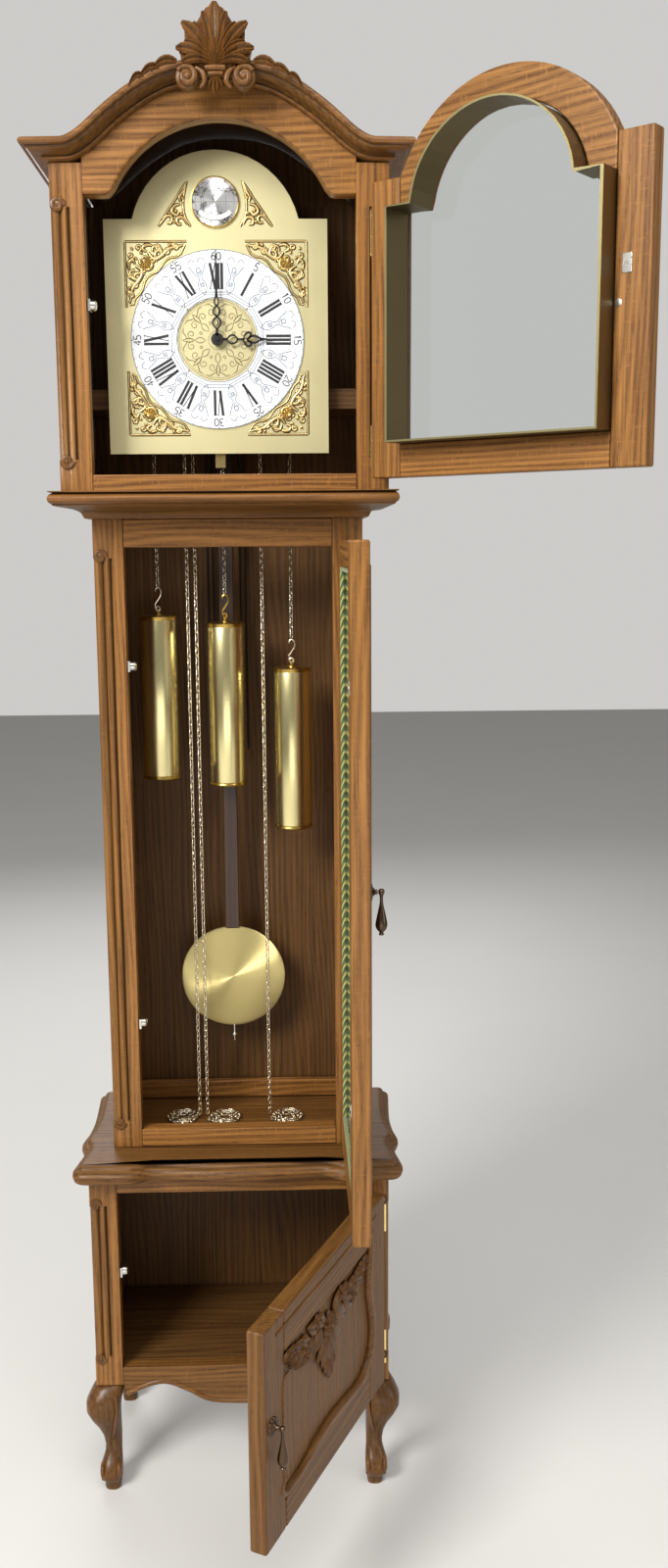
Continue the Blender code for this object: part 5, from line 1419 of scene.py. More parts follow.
def makeHand(node, angle, body, parts, arborProud=0.0):
    # a pierced hand drawn as ribbons of steel
    low, high = caseBox(node)
    thick = 0.0011
    front = low.y + arborProud
    shape = Shape()
    for points, widths, paired in parts:
        for way in ((1, -1) if paired else (1,)):
            path = [onDial(angle, r, way * x) for x, r in smooth(points, 5)]
            broad = [w * 1.15 for w in taper(len(path), *widths)]
            flatStroke(shape, path, broad, front + thick * 0.75, thick * 0.75)
    shape.turned([(0.0078, -thick * 0.9), (0.0078, -0.0001), (0.007, 0.0)],
        (dialCentre.x, front, dialCentre.z), "Y", 28)
    if arborProud:
        shape.turned([(0.0024, low.y - high.y), (0.0024, -0.0004), (0.0019, 0.0)],
            (dialCentre.x, low.y, dialCentre.z), "Y", 16)
    fit(shape, f"{node}_pierced", body, "blackEnamel", stands=(node,))


# points of each part from the arbor out, its widths, and whether a mirrored one goes with it
minuteParts = (
    (((0.0, 0.004), (0.0, 0.013)), (0.0034, 0.003, 0.0028), False),
    (((0.0, 0.012), (-0.0044, 0.017), (-0.0046, 0.0225), (0.0, 0.027), (0.004, 0.0318), (0.0034, 0.0365),
     (0.0, 0.04)), (0.0014, 0.002, 0.0014), True),
    (((-0.0001, 0.016), (0.0018, 0.02), (-0.0001, 0.024)), (0.001, 0.0012, 0.001), False),
    (((0.0, 0.039), (-0.0026, 0.044), (-0.0018, 0.049), (0.0, 0.054)), (0.0016, 0.0016, 0.0012), True),
    (((0.0, 0.05), (0.0, 0.08), (0.0, 0.1075)), (0.003, 0.0021, 0.0008), False),
)
hourParts = (
    (((0.0, 0.004), (0.0, 0.013)), (0.0034, 0.003, 0.0028), False),
    (((0.0, 0.012), (-0.0046, 0.0165), (-0.0044, 0.022), (0.0, 0.026)), (0.0014, 0.0021, 0.0014), True),
    (((0.0, 0.025), (0.0, 0.0345)), (0.0026, 0.0022, 0.0026), False),
    (((0.0, 0.033), (-0.0046, 0.0345), (-0.0082, 0.038), (-0.0072, 0.0425), (-0.0036, 0.042),
     (0.0, 0.0375)), (0.0012, 0.0024, 0.0012), True),
    (((0.0, 0.037), (-0.004, 0.044), (-0.0034, 0.05), (0.0, 0.056)), (0.0014, 0.0026, 0.0012), True),
    (((0.0, 0.0545), (0.0, 0.061), (0.0, 0.0678)), (0.0036, 0.0022, 0.0006), False),
)


print("dial")
keep("dial_plate", "dialPlate")
keep("chapter_ring", "ringWhite")
keep("globe_disc", "globeSilver")
makeNumerals()
makeRingLines()
makeEngraving()
makeSpandrels()
makeDialPins()
makeHand("minute_hand", 0, "minute_hand", minuteParts, 0.002)
makeHand("hour_hand", 90, "hour_hand", hourParts)


print("movement")
keep("movement_frame", "hingeBrass")
keep("seat_board", "oakShelfShaded")
keep("chime_rods", "blackEnamel")
for side in ("left", "middle", "right"):
    keep(f"chain_wheel_{side}", "hingeBrass")

weightSettings = {"radius": 0.0252, "rim": 0.0258, "rimHeight": 0.0052, "hook": 0.04, "nut": 0.004}


def makeWeight(name, hookFinish):
    low, high = caseBox(name)
    centre = ((low.x + high.x) / 2, (low.y + high.y) / 2)
    hook = weightSettings["hook"]
    top = high.z - hook
    bottom = low.z + weightSettings["nut"]
    radius = weightSettings["radius"]
    rim = weightSettings["rim"]
    tall = weightSettings["rimHeight"]
    at = (centre[0], centre[1], 0.0)
    shell = Shape().turned([(radius - 0.0006, bottom + tall - 0.001), (radius - 0.0002, bottom + tall),
        (radius - 0.0002, top - tall), (radius - 0.0006, top - tall + 0.001)], at, "Z", 48)
    fit(shell, name + "_shell", name, "weightShell", stands=(name,))
    caps = Shape()
    for z0, z1, way in ((bottom, bottom + tall, -1), (top - tall, top, 1)):
        flat = z0 if way < 0 else z1
        inner = z1 if way < 0 else z0
        caps.turned([(0.0, flat + way * 0.0008), (radius - 0.005, flat + way * 0.0006), (rim - 0.001, flat),
            (rim, flat - way * 0.0012), (rim - 0.0001, flat - way * 0.0026),
            (rim - 0.0006, flat - way * 0.0034), (radius - 0.0001, inner - way * 0.0002),
            (radius - 0.001, inner)][::way], at, "Z", 48)
    caps.turned([(0.0, bottom - 0.004), (0.0022, bottom - 0.0034), (0.004, bottom - 0.003),
        (0.0044, bottom - 0.0006), (0.003, bottom)], at, "Z", 14)
    caps.turned([(0.006, top), (0.0056, top + 0.002), (0.0032, top + 0.0034), (0.003, top + 0.0058),
        (0.0, top + 0.0062)], at, "Z", 18)
    fit(caps, name + "_caps", name, "rimBrass")
    eye = Shape()
    ring = [(centre[0] + 0.003 * math.cos(a), centre[1], top + 0.0088 + 0.0034 * math.sin(a))
        for a in (math.radians(30 * k) for k in range(12))]
    eye.tube(ring, 0.0009, 8, 1.0, None, True)
    base = top + 0.0085
    span = hook - 0.0105
    curve = [(0.0028, 0.02), (0.0, -0.06), (-0.0032, 0.05), (-0.0036, 0.22), (0.0, 0.42), (0.0036, 0.62),
        (0.004, 0.84), (0.001, 0.98), (-0.0026, 0.92), (-0.0032, 0.8)]
    path = smooth([(centre[0] + x, centre[1], base + span * share) for x, share in curve], 5)
    thick = 0.0013 if hookFinish == "rimBrass" else 0.001
    eye.tube(path, thick, 8)
    fit(eye, name + "_hook", name, hookFinish)


makeWeight("weight_left", "chainSteel")
makeWeight("weight_middle", "rimBrass")
makeWeight("weight_right", "chainSteel")

chainSettings = {"pitch": 0.0078, "length": 0.0102, "width": 0.0062, "wire": 0.0008, "around": 12,
    "sides": 6}


def addChain(shape, path):
    # oval links along a line, every second one turned a quarter round
    settings = chainSettings
    lengths = [0.0]
    for a, b in zip(path, path[1:]):
        lengths.append(lengths[-1] + (Vector(b) - Vector(a)).length)
    count = max(2, round(lengths[-1] / settings["pitch"]))
    segment = 0
    for k in range(count):
        want = (k + 0.5) / count * lengths[-1]
        while segment < len(lengths) - 2 and lengths[segment + 1] < want:
            segment += 1
        span = lengths[segment + 1] - lengths[segment]
        a = Vector(path[segment])
        b = Vector(path[segment + 1])
        centre = a.lerp(b, (want - lengths[segment]) / span)
        along = (b - a).normalized()
        side = along.cross(Vector((0, 0, 1)) if abs(along.z) < 0.7 else Vector((0, 1, 0))).normalized()
        other = along.cross(side)
        lean = math.radians(45 + (90 if k % 2 else 0))
        across = side * math.cos(lean) + other * math.sin(lean)
        # on the floor the links lie closer to flat
        if abs(along.z) < 0.5:
            across = (side if k % 2 == 0 else (side * 0.5 + Vector((0, 0, 0.5)))).normalized()
        straight = settings["length"] / 2 - settings["width"] / 2
        ring = []
        for n in range(settings["around"]):
            angle = 2 * math.pi * n / settings["around"]
            reach = settings["width"] / 2 - settings["wire"]
            offset = straight if math.cos(angle) > 0 else -straight
            ring.append(centre + along * (offset + reach * math.cos(angle)) + across * reach
                * math.sin(angle))
        shape.tube(ring, settings["wire"], settings["sides"], 1.0, None, True)


chainFloor = caseBox("trunk_carcass")[0].z + 0.0026
for side, turn in (("left", -1), ("middle", 1), ("right", 1)):
    low, high = caseBox(f"weight_chain_{side}")
    x = (low.x + high.x) / 2
    y = (low.y + high.y) / 2
    hanging = Shape()
    hookTop = caseBox(f"weight_{side}")[1].z
    addChain(hanging, [(x, y, high.z), (x, y, hookTop - 0.001)])
    piece = newPiece(hanging, f"links_{side}", "chainSteel")
    piece.matrix_world = caseMatrix
    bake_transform(piece)
    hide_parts(f"weight_chain_{side}")
    # the slack side runs down to a coil on the trunk's floor
    low, high = caseBox(f"free_chain_{side}")
    footX = high.x - 0.0022 if turn < 0 else low.x + 0.0022
    centre = footX + turn * 0.024
    path = [(footX, y, high.z - 0.002), (footX, y, chainFloor + 0.004)]
    for i in range(1, 73):
        share = i / 72
        radius = 0.024 - 0.017 * share
        angle = turn * share * 3 * 2 * math.pi
        path.append((centre - turn * radius * math.cos(angle), y - radius * math.sin(angle), chainFloor))
    slack = Shape()
    addChain(slack, path[:2])
    addChain(slack, path[2:])
    fit(slack, f"slack_{side}", "case", "chainSteel", stands=(f"free_chain_{side}",), sharp=80)


def makePendulum():
    low, high = caseBox("pendulum_rod")
    bobLow, bobHigh = caseBox("pendulum_bob")
    x = (bobLow.x + bobHigh.x) / 2
    y = (bobLow.y + bobHigh.y) / 2
    bobZ = (bobLow.z + bobHigh.z) / 2
    radius = (bobHigh.z - bobLow.z) / 2
    rod = Shape().block((x - 0.01, y - 0.0035, bobZ + radius - 0.003),
        (x + 0.01, y + 0.0035, high.z - 0.085))
    fit(rod, "rod_stave", "pendulum", "rodWood", stands=("pendulum_rod",), bevel=0.0015)
    metal = Shape()
    metal.block((x - 0.0075, y - 0.0042, high.z - 0.098), (x + 0.0075, y + 0.0042, high.z - 0.08))
    metal.block((x - 0.0035, y - 0.0006, high.z - 0.082), (x + 0.0035, y + 0.0006, high.z - 0.002))
    metal.turned([(0.0, high.z - 0.006), (0.003, high.z - 0.0055), (0.003, high.z - 0.001), (0.0, high.z)],
        (x, y, 0), "Z", 12)
    # threaded end and rating nut under the bob
    metal.turned([(0.0, low.z), (0.0013, low.z + 0.0006), (0.0015, low.z + 0.002),
        (0.0015, bobZ - radius + 0.002)], (x, y, 0), "Z", 10)
    metal.turned([(0.0, low.z + 0.0085), (0.0046, low.z + 0.0092), (0.005, low.z + 0.0112),
        (0.0046, low.z + 0.0132), (0.0, low.z + 0.014)], (x, y, 0), "Z", 20)
    fit(metal, "rod_fittings", "pendulum", "nickel")
    bob = Shape()
    half = (bobHigh.y - bobLow.y) / 2
    dome = []
    for k in range(15):
        share = k / 14
        dome.append((radius * math.sin(share * math.pi / 2),
            0.0012 + (half - 0.0012) * math.cos(share * math.pi / 2) ** 1.4))
    profile = dome + [(radius * 0.998, -0.0012), (radius * 0.96, -half * 0.6), (0.0, -half * 0.9)]
    bob.turned(profile, (x, y, bobZ), "Y", 96)
    fit(bob, "bob_shell", "pendulum", "pendulumBrass", stands=("pendulum_bob",), sharp=50)


print("pendulum")
makePendulum()

# a door is drawn shut, running to -x from its hinge pins; y falls towards its outer face
doorInner = 0.0105
doorOuter = -0.0115


def archPath(middle, half, bottom, shoulder, archHalf, rise, steps=30):
    centreZ, radius, reach = archCircle(shoulder, archHalf, rise)
    crown = arc((middle, centreZ), radius, reach, 180 - reach, steps)
    return [(middle - half, bottom), (middle + half, bottom), (middle + half, shoulder), *crown,
        (middle - half, shoulder)]


def makeDoorFrame(door, at, inside, upright, across, settings):
    # two stiles and two rails round a pane or a panel
    low, high = localBox(f"{door}_frame", at)
    inLow, inHigh = localBox(inside, at)
    gap = settings["gap"]
    lap = settings["lap"]
    ease = settings["ease"]
    for x0, x1, where in ((low.x, inLow.x - gap, "free"), (inHigh.x + gap, high.x, "hinge")):
        stile = Shape().block((x0, doorOuter, low.z), (x1, doorInner, high.z))
        stands = (f"{door}_frame",) if where == "free" else ()
        fit(stile, f"{door}_stile_{where}", door, upright, at, stands, settings["stileBevel"], 3)
    for z0, z1, where in ((low.z, inLow.z - gap, "bottom"), (inHigh.z + gap, high.z, "top")):
        rail = Shape().block((inLow.x - lap, doorOuter + ease, z0), (inHigh.x + lap, doorInner - ease, z1))
        fit(rail, f"{door}_rail_{where}", door, across, at, (), settings["railBevel"], 3)
    return low, high, inLow, inHigh


# from a door's free edge to where its strike clears the stile
catchReach = {"hood": 0.0216, "trunk": 0.0114, "base": 0.0147}


def makeHoodDoor():
    at = hoodDoorMatrix
    low, high = localBox("hood_door_frame", at)
    middle = (low.x + high.x) / 2
    sightHalf = 0.137
    sightLow = 1.4125
    shoulder = 1.6765
    outerShoulder = 1.7145
    for side, where in ((-1, "free"), (1, "hinge")):
        x0 = middle + side * (sightHalf + 0.0018)
        x1 = middle + side * (high.x - low.x) / 2
        shape = Shape().block((min(x0, x1), doorOuter, low.z), (max(x0, x1), doorInner, outerShoulder))
        fit(shape, f"hood_door_stile_{where}", "hood_door", "oakUpright", at,
            ("hood_door_frame",) if side < 0 else (), 0.0022, 3)
    half = sightHalf + 0.0016
    rail = Shape().block((middle - half, doorOuter, low.z), (middle + half, doorInner, sightLow - 0.0002))
    fit(rail, "hood_door_rail", "hood_door", "oakAcross", at, (), 0.0018, 2)
    archHalf = 0.138
    rise = 0.0925
    centreZ, radius, reach = archCircle(outerShoulder, archHalf, rise)
    crown = arc((middle, centreZ), radius, reach, 180 - reach, 40)
    inner = archPath(middle, sightHalf + 0.0016, sightLow, shoulder, 0.1055, 0.0935, 40)[2:]
    outline = [(middle + half, shoulder), (middle + half, outerShoulder), *crown[1:-1],
        (middle - half, outerShoulder), (middle - half, shoulder)]
    lower = [point for point in reversed(inner) if abs(point[0] - middle) < 0.1056]
    head = Shape().slab(outline + lower, doorOuter, doorInner)
    fit(head, "hood_door_head", "hood_door", "oakAcross", at, (), 0.002, 3)
    # liner: keep the band in dark brass as painted shade, with a bright edge stroke as a painted highlight,
    # its screws and the strike
    keep("hood_door_liner", "linerBrassShaded")
    linerFace = localBox("hood_door_liner", at)[1].y
    edge = Shape()
    around = archPath(middle, 0.1372, 1.4138, 1.6752, 0.104, 0.0922, 40)
    flatStroke(edge, around, 0.0022, linerFace, -0.0007, True)
    fit(edge, "hood_liner_edge", "hood_door", "linerEdgeHighlight", at)
    screws = Shape()
    for z in (1.47, 1.63):
        screws.turned([(0.0028, 0.0), (0.0026, 0.0006), (0.0014, 0.0012), (0.0, 0.0014)],
            (middle - 0.137, doorInner + 0.018, z), "X", 14)
    fit(screws, "hood_liner_screws", "hood_door", "nickel", at)
    keep("hood_door_glass", "paneGlass")
    freeEdge = low.x + catchReach["hood"]
    strike = Shape().block((freeEdge, doorInner - 0.0002, 1.572),
        (freeEdge + 0.011, doorInner + 0.0008, 1.592))
    strike.turned([(0.0025, 0.0), (0.002, 0.0007), (0.0, 0.0011)],
        (freeEdge + 0.0055, doorInner + 0.0008, 1.582), "Y", 12)
    fit(strike, "hood_door_strike", "hood_door", "nickel", at, (), 0.0004, 2)
    disc = Shape().turned([(0.0, 0.0003), (0.0036, 0.0002), (0.0042, 0.0001), (0.0042, -0.0006)],
        (freeEdge + 0.015, doorInner, 1.543), "Y", 18)
    for point in range(len(disc.points)):
        x, y, z = disc.points[point]
        disc.points[point] = (x, 2 * doorInner - y, z)
    fit(disc, "hood_door_buffer", "hood_door", "nickel", at)
    sight = Shape()
    ring = archPath(middle, 0.1405, 1.41, 1.679, 0.108, 0.095, 40)
    sight.tube([(x, doorOuter + 0.0006, z) for x, z in ring], 0.0036, 8, 1.0, (0, -1, 0), True)
    fit(sight, "hood_door_bead", "hood_door", "oakMoulded", at)


trunkDoorSettings = {
    "gap": 0.0004, "lap": 0.0002, "ease": 0.0002, "stileBevel": 0.003, "railBevel": 0.0024,
    "cordInset": 0.0028, "cordRadius": 0.003,
}


def makeTrunkDoor():
    at = trunkDoorMatrix
    low, high, paneLow, paneHigh = makeDoorFrame("trunk_door", at, "trunk_door_glass", "oakUpright",
        "oakAcross", trunkDoorSettings)
    keep("trunk_door_glass", "paneGlass")
    cord = Shape()
    inset = trunkDoorSettings["cordInset"]
    radius = trunkDoorSettings["cordRadius"]
    y = paneHigh.y + radius
    box = [(paneLow.x + inset, paneLow.z + inset), (paneHigh.x - inset, paneLow.z + inset),
        (paneHigh.x - inset, paneHigh.z - inset), (paneLow.x + inset, paneHigh.z - inset)]
    for (x0, z0), (x1, z1) in zip(box, box[1:] + box[:1]):
        cord.tube([(x0, y, z0), (x1, y, z1)], radius, 10)
    fit(cord, "trunk_glazing_cord", "trunk_door", "glazingCord", at)
    bead = Shape()
    ring = [(paneLow.x - 0.003, paneLow.z - 0.003), (paneHigh.x + 0.003, paneLow.z - 0.003),
        (paneHigh.x + 0.003, paneHigh.z + 0.003), (paneLow.x - 0.003, paneHigh.z + 0.003)]
    for (x0, z0), (x1, z1) in zip(ring, ring[1:] + ring[:1]):
        bead.tube([(x0, doorOuter + 0.0004, z0), (x1, doorOuter + 0.0004, z1)], 0.0038, 8)
    fit(bead, "trunk_door_bead", "trunk_door", "oakMoulded", at)
    strikes = Shape()
    freeEdge = low.x + catchReach["trunk"]
    for name in ("trunk_catch_upper", "trunk_catch_lower"):
        c0, c1 = caseBox(name)
        z = (c0.z + c1.z) / 2
        strikes.block((freeEdge, doorInner - 0.0002, z - 0.008),
            (freeEdge + 0.01, doorInner + 0.0008, z + 0.008))
        strikes.turned([(0.0022, 0.0), (0.0018, -0.0008), (0.0, -0.0012)],
            (freeEdge + 0.005, doorInner + 0.0008, z), "Y", 10)
    fit(strikes, "trunk_door_strikes", "trunk_door", "nickel", at)


def makeDropPull(door, at):
    low, high = localBox(f"{door}_rosette", at)
    dropLow, dropHigh = localBox(f"{door}_drop", at)
    x = (low.x + high.x) / 2
    z = (low.z + high.z) / 2
    back = high.y
    rose = Shape()
    for k in range(10):
        angle = 2 * math.pi * k / 10
        rose.turned([(0.0031, 0.0), (0.0029, 0.0012), (0.0018, 0.0022), (0.0, 0.0026)],
                    (x + 0.0079 * math.cos(angle), back, z + 0.0079 * math.sin(angle)), "Y", 10)
    rose.turned([(0.0088, 0.0), (0.0086, 0.0016), (0.006, 0.003), (0.0042, 0.0044), (0.003, 0.0056),
        (0.003, 0.007), (0.0026, 0.0084), (0.0, 0.0085)], (x, back, z), "Y", 24)
    fit(rose, f"{door}_rosette_cast", door, "bronze", at, (f"{door}_rosette",))
    # the drop hangs from a ball at the end of the stem
    y = (dropLow.y + dropHigh.y) / 2
    length = z - dropLow.z
    drop = Shape().turned([(0.0, 0.0037), (0.0018, 0.0034), (0.0033, 0.002), (0.0037, 0.0),
        (0.0034, -0.0016), (0.0024, -0.0034), (0.0019, -0.0056), (0.0018, -0.01), (0.0022, -0.014),
        (0.003, -0.018), (0.0042, -0.0235), (0.0056, -0.03), (0.0066, -0.0355), (0.0068, -0.0385),
        (0.006, -0.042), (0.004, -0.0448), (0.0024, -0.0462), (0.0022, -0.0474), (0.003, -0.0484),
        (0.0028, -0.0496), (0.0, -length)][::-1], (x, y, z), "Z", 24)
    fit(drop, f"{door}_drop_cast", door.replace("door", "drop"), "bronze", at, (f"{door}_drop",))


baseDoorSettings = {
    # runs are (from the door's middle, height)
    "gap": 0.0002, "lap": 0.0, "ease": 0.0, "stileBevel": 0.0032, "railBevel": 0.003,
    "roll": ((-0.129, 0.225), (-0.1385, 0.2185), (-0.133, 0.2085), (-0.116, 0.207), (-0.085, 0.209),
        (-0.045, 0.217), (0.0, 0.22), (0.045, 0.2165), (0.085, 0.213), (0.113, 0.223), (0.129, 0.243),
        (0.134, 0.27), (0.129, 0.3), (0.1225, 0.327), (0.1235, 0.355), (0.129, 0.382), (0.13, 0.406)),
    "line": ((-0.133, 0.224), (-0.1355, 0.26), (-0.135, 0.3), (-0.133, 0.34), (-0.129, 0.354),
        (-0.118, 0.356)),
    # hanging leaves: lean, length, half width, start; then branch leaves: share, lean, length, half width
    "cluster": ((-90, 0.04, 0.0082, 0.012), (-112, 0.036, 0.0074, 0.012), (-68, 0.036, 0.0074, 0.012),
        (-134, 0.032, 0.0072, 0.012), (-46, 0.032, 0.0072, 0.012), (-90, 0.024, 0.0062, 0.046),
        (-100, 0.02, 0.005, 0.04), (-80, 0.02, 0.005, 0.04)),
    "branch": ((0.16, 62, 0.026, 0.007), (0.22, -58, 0.034, 0.008), (0.34, 48, 0.024, 0.0068),
        (0.4, -52, 0.032, 0.0076), (0.52, 52, 0.023, 0.0064), (0.58, -48, 0.028, 0.007),
        (0.7, 44, 0.021, 0.0058), (0.76, -44, 0.024, 0.006), (0.88, 40, 0.017, 0.0048),
        (0.92, -34, 0.018, 0.0048), (1.0, 8, 0.018, 0.0046)),
}


def makeBaseDoor():
    at = baseDoorMatrix
    low, high, panelLow, panelHigh = makeDoorFrame("base_door", at, "base_door_panel", "oakLowShaded",
        "oakLowAcrossShaded", baseDoorSettings)
    middle = (low.x + high.x) / 2
    panel = Shape().block((panelLow.x, panelLow.y, panelLow.z), (panelHigh.x, panelHigh.y, panelHigh.z))
    fit(panel, "base_door_field", "base_door", "oakLowShaded", at, ("base_door_panel",), 0.0008, 2)
    # serpentine roll round the foot and the hinge side, ending in a scroll near the pull
    roll = Shape()
    front = doorOuter + 0.0012
    spine = smooth([(middle + x, z) for x, z in baseDoorSettings["roll"]], 5)
    count = len(spine)
    widths = [0.0064 * min(1.0, 0.45 + 1.6 * i / count, 0.6 + 6.0 * (count - 1 - i) / count)
        for i in range(count)]
    roll.tube(onFace(spine, front), widths, 12, 1.0, (0, -1, 0))
    follow = spine[12:]
    beside = []
    for i, point in enumerate(follow):
        here = Vector(point)
        along = heading(follow, i)
        beside.append(tuple(here + Vector((along.y, -along.x)) * 0.0092))
    roll.tube(onFace(beside, front), 0.002, 8, 1.0, (0, -1, 0))
    fit(roll, "base_door_roll", "base_door", "oakMoulded", at, sharp=60)
    thin = Shape()
    line = smooth([(middle + x, z) for x, z in baseDoorSettings["line"]], 4)
    thin.tube(onFace(line, doorOuter), 0.0017, 8, 1.0, (0, -1, 0))
    top = [(middle - 0.15, 0.419), (middle + 0.15, 0.419)]
    thin.tube(onFace(top, doorOuter), 0.0016, 8, 1.0, (0, -1, 0))
    fit(thin, "base_door_line", "base_door", "oakMoulded", at)
    # the carved spray: a flower over a hanging cluster, with a leafy branch each side
    spray = Shape()
    centre = (middle - 0.006, 0.352)
    facing = (0, -1, 0)
    face = doorOuter + 0.0012

    def leafAt(x, z, angle, length, half, curl=0.0, height=0.0046):
        turn = math.radians(angle)
        length *= 1.12
        half *= 1.3
        spine = []
        for i in range(7):
            share = i / 6
            bend = turn + math.radians(curl) * share
            spine.append(Vector((x + math.cos(bend) * length * share,
                face - 0.0014 * math.sin(math.pi * share), z + math.sin(bend) * length * share)))
        spray.leaf(spine, [half * v for v in (0.35, 0.8, 1.05, 1.0, 0.8, 0.5, 0.1)], height, facing, 0.35)

    cx, cz = centre
    for k in range(6):
        leafAt(cx, cz, 60 * k + 30, 0.0165, 0.0062, 0, 0.006)
    for k in range(6):
        leafAt(cx, cz, 60 * k, 0.01, 0.004, 0, 0.0074)
    spray.turned([(0.0046, 0.0), (0.0044, 0.006), (0.0026, 0.0082), (0.0, 0.0088)], (cx, face, cz), "Y", 14)
    for lean, length, half, start in baseDoorSettings["cluster"]:
        turn = math.radians(lean)
        leafAt(cx + math.cos(turn) * start, cz + math.sin(turn) * start, lean, length, half, 0)
    for way in (-1, 1):
        stem = smooth([(cx, cz), (cx + way * 0.03, cz + 0.012), (cx + way * 0.06, cz + 0.008),
            (cx + way * 0.085, cz + 0.016), (cx + way * 0.108, cz + 0.026)], 5)
        spray.tube(onFace(stem, face), taper(len(stem), 0.003, 0.0024, 0.0012), 8, 1.0, facing)
        for share, up, length, half in baseDoorSettings["branch"]:
            x, z = stem[min(int(share * (len(stem) - 1)), len(stem) - 1)]
            leafAt(x, z, up if way > 0 else 180 - up, length, half, -way * 18 if up > 0 else way * 18)
        for share, lift in ((0.3, 0.0115), (0.62, -0.01)):
            x, z = stem[int(share * (len(stem) - 1))]
            for k in range(5):
                leafAt(x, z + lift, 72 * k + 18, 0.0085, 0.0036, 0, 0.0058)
            spray.turned([(0.0026, 0.0), (0.0024, 0.0056), (0.0, 0.007)], (x, face, z + lift), "Y", 10)
    fit(spray, "base_door_spray", "base_door", "oakCarved", at, sharp=70)
    c0, c1 = caseBox("base_catch")
    z = (c0.z + c1.z) / 2
    freeEdge = low.x + catchReach["base"]
    strike = Shape().block((freeEdge, doorInner - 0.0002, z - 0.008),
        (freeEdge + 0.01, doorInner + 0.0008, z + 0.008))
    fit(strike, "base_door_strike", "base_door", "nickel", at, (), 0.0004, 2)


print("doors")
makeHoodDoor()
makeTrunkDoor()
makeDropPull("trunk_door", trunkDoorMatrix)
makeBaseDoor()
makeDropPull("base_door", baseDoorMatrix)


def makeHinges():
    # knuckled barrels; the fixed leaf stays with the case
    for section, at, door in (("hood", hoodDoorMatrix, "hood_door"),
            ("trunk", trunkDoorMatrix, "trunk_door"), ("base", baseDoorMatrix, "base_door")):
        for where in ("upper", "lower"):
            node = f"{section}_hinge_{where}"
            low, high = caseBox(node)
            pin = caseMatrix.inverted() @ at.translation
            barrel = Shape()
            span = (high.z - low.z) / 5
            for k in range(5):
                z0 = low.z + span * k + 0.0002
                z1 = low.z + span * (k + 1) - 0.0002
                barrel.turned([(0.0, z0), (0.003, z0), (0.0034, z0 + 0.0004), (0.0034, z1 - 0.0004),
                    (0.003, z1), (0.0, z1)], (pin.x, pin.y, 0), "Z", 16)
            for z, way in ((high.z, 1), (low.z, -1)):
                barrel.turned([(0.0, z - way * 0.0005), (0.0026, z - way * 0.0005),
                    (0.0024, z - way * 0.0002), (0.0, z)][::way], (pin.x, pin.y, 0), "Z", 14)
            thin = high.y - 0.0013
            if high.x - pin.x > 0.006:
                barrel.block((max(low.x, pin.x), thin, low.z + 0.001), (high.x, high.y, high.z - 0.001))
            if pin.x - low.x > 0.006:
                barrel.block((low.x, thin, low.z + 0.001), (pin.x, high.y, high.z - 0.001))
            fit(barrel, f"{node}_knuckles", "case", "hingeBrass", stands=(node,))
            leaf = Shape().block((-0.0048, -0.0018, low.z + 0.001),
                (-0.0034, doorInner - 0.001, high.z - 0.001))
            fit(leaf, f"{node}_leaf", door, "hingeBrass", at)


def makeCatches():
    for node in ("hood_catch", "trunk_catch_upper", "trunk_catch_lower", "base_catch"):
        low, high = caseBox(node)
        z = (low.z + high.z) / 2
        y = (low.y + high.y) / 2
        x = low.x
        shape = Shape().block((x, low.y, low.z + 0.001), (x + 0.0035, high.y, high.z - 0.001))
        shape.turned([(0.0066, 0.0), (0.0066, 0.004), (0.0058, 0.0064), (0.0034, 0.0078), (0.0, 0.0082)],
            (x + 0.003, y, z), "X", 20)
        fit(shape, f"{node}_plate", "case", "nickel", stands=(node,), bevel=0.0006)


print("hinges and catches")
makeHinges()
makeCatches()


def makeStage():
    floorShape = Shape().block((-9.0, -9.0, -0.02), (9.0, 9.0, 0.0))
    mesh = bpy.data.meshes.new("studioFloor")
    mesh.from_pydata(floorShape.points, [], floorShape.faces)
    floorPiece = bpy.data.objects.new("studioFloor", mesh)
    bpy.context.scene.collection.objects.link(floorPiece)
    tree, shader = newMaterial("paleFloor", "oak")
    place = addNode(tree, "ShaderNodeTexCoord").outputs["Object"]
    cloud = noise(tree, place, 2.5, (1, 1, 1), 3.0)
    link(tree, mixed(tree, cloud, (0.7, 0.69, 0.67), (0.66, 0.65, 0.63)), shader.inputs["Base Color"])
    shader.inputs["Roughness"].default_value = 0.62
    mesh.materials.append(finishes["paleFloor"][0])


lightSettings = {
    # place, size, power, colour
    "windowLeft": ((-1.9, -2.35, 2.9), (1.2, 1.4), 150.0, (1.0, 0.985, 0.96)),
    "frontLow": ((0.15, -3.1, 0.42), (2.6, 0.8), 11.0, (1.0, 0.99, 0.96)),
    "overhead": ((0.4, -1.4, 3.6), (2.4, 1.8), 45.0, (1.0, 0.98, 0.95)),
    "fillRight": ((2.9, -1.6, 1.6), (1.4, 1.8), 22.0, (0.97, 0.985, 1.0)),
    "rimBack": ((-0.6, 2.9, 2.4), (2.4, 1.8), 45.0, (1.0, 1.0, 1.0)),
}


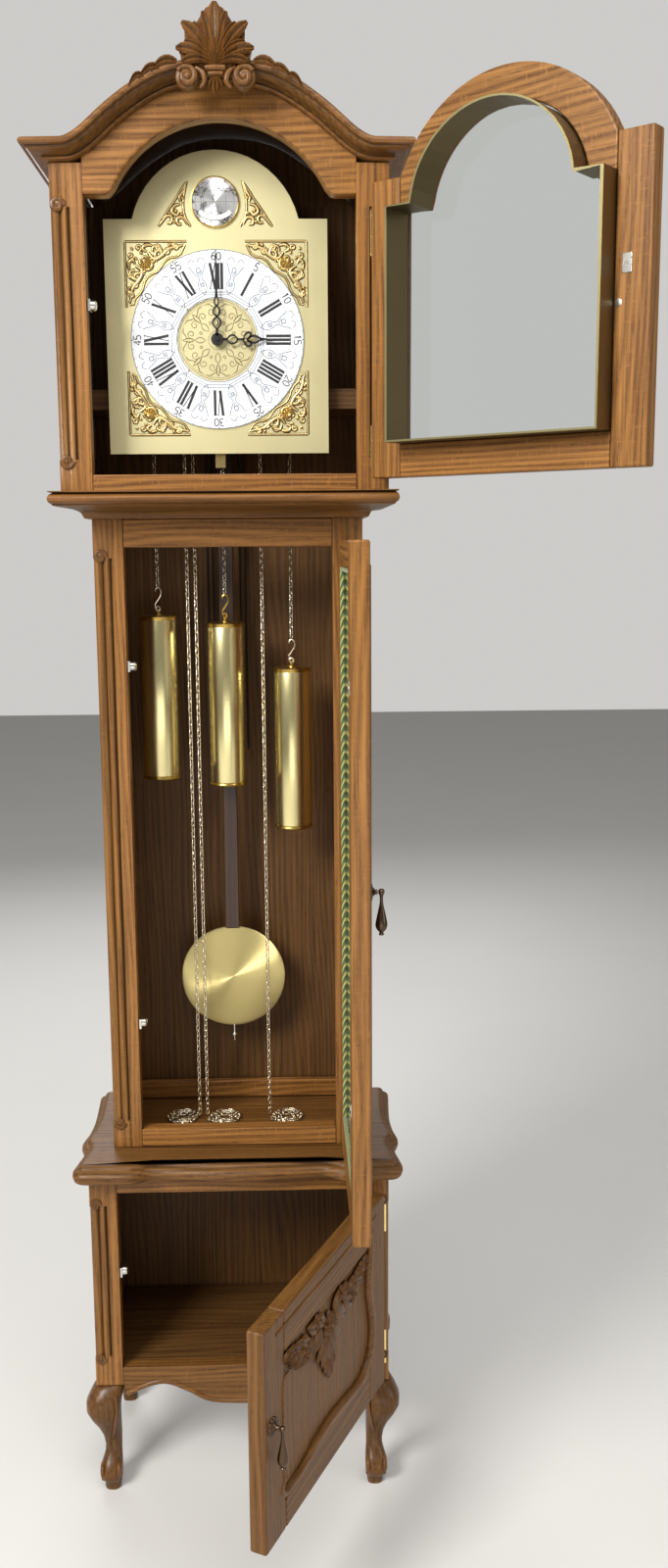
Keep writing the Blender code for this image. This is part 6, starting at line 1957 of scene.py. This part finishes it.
def makeLights():
    target = Vector((0.0, 0.0, 1.0))
    for name, (place, size, power, color) in lightSettings.items():
        data = bpy.data.lights.new(name, "AREA")
        data.shape = "RECTANGLE"
        data.size, data.size_y = size
        data.energy = power
        data.color = color
        lamp = bpy.data.objects.new(name, data)
        lamp.location = place
        lamp.visible_transmission = False
        lamp.rotation_euler = (target - Vector(place)).to_track_quat("-Z", "Y").to_euler()
        bpy.context.scene.collection.objects.link(lamp)
    world = bpy.data.worlds.new("studio")
    bpy.context.scene.world = world
    world.use_nodes = True
    tree = world.node_tree
    background = tree.nodes["Background"]
    background.inputs["Color"].default_value = (0.8, 0.79, 0.77, 1)
    # the backdrop looks paler than the light it gives
    path = addNode(tree, "ShaderNodeLightPath")
    seen = plus(tree, path.outputs["Is Camera Ray"],
                times(tree, path.outputs["Is Transmission Ray"], 0.8))
    strength = plus(tree, times(tree, seen, 0.42), 0.34)
    link(tree, strength, background.inputs["Strength"])


cameraSettings = {
    "place": (-0.0339, -1.6588, 1.292), "yaw": 0.0237, "pitch": -0.1688, "roll": -0.0072,
    "lens": 31.167, "shift": (0.0031, -0.0039),
}


def makeCamera():
    settings = cameraSettings
    yaw, pitch, roll = settings["yaw"], settings["pitch"], settings["roll"]
    forward = Vector((math.sin(yaw) * math.cos(pitch), math.cos(yaw) * math.cos(pitch), math.sin(pitch)))
    right = Vector((math.cos(yaw), -math.sin(yaw), 0.0))
    up = right.cross(forward)
    turned = math.cos(roll) * right + math.sin(roll) * up
    upright = -math.sin(roll) * right + math.cos(roll) * up
    data = bpy.data.cameras.new("camera")
    data.lens = settings["lens"]
    data.sensor_width = 36.0
    data.shift_x, data.shift_y = settings["shift"]
    data.clip_start = 0.02
    camera = bpy.data.objects.new("camera", data)
    basis = Matrix((turned, upright, -forward)).transposed().to_4x4()
    camera.matrix_world = Matrix.Translation(Vector(settings["place"])) @ basis
    bpy.context.scene.collection.objects.link(camera)
    bpy.context.scene.camera = camera


makeStage()
makeLights()
makeCamera()
bpy.context.scene.view_settings.view_transform = "Standard"
print("stage, lights and camera")

bpy.context.view_layer.update()
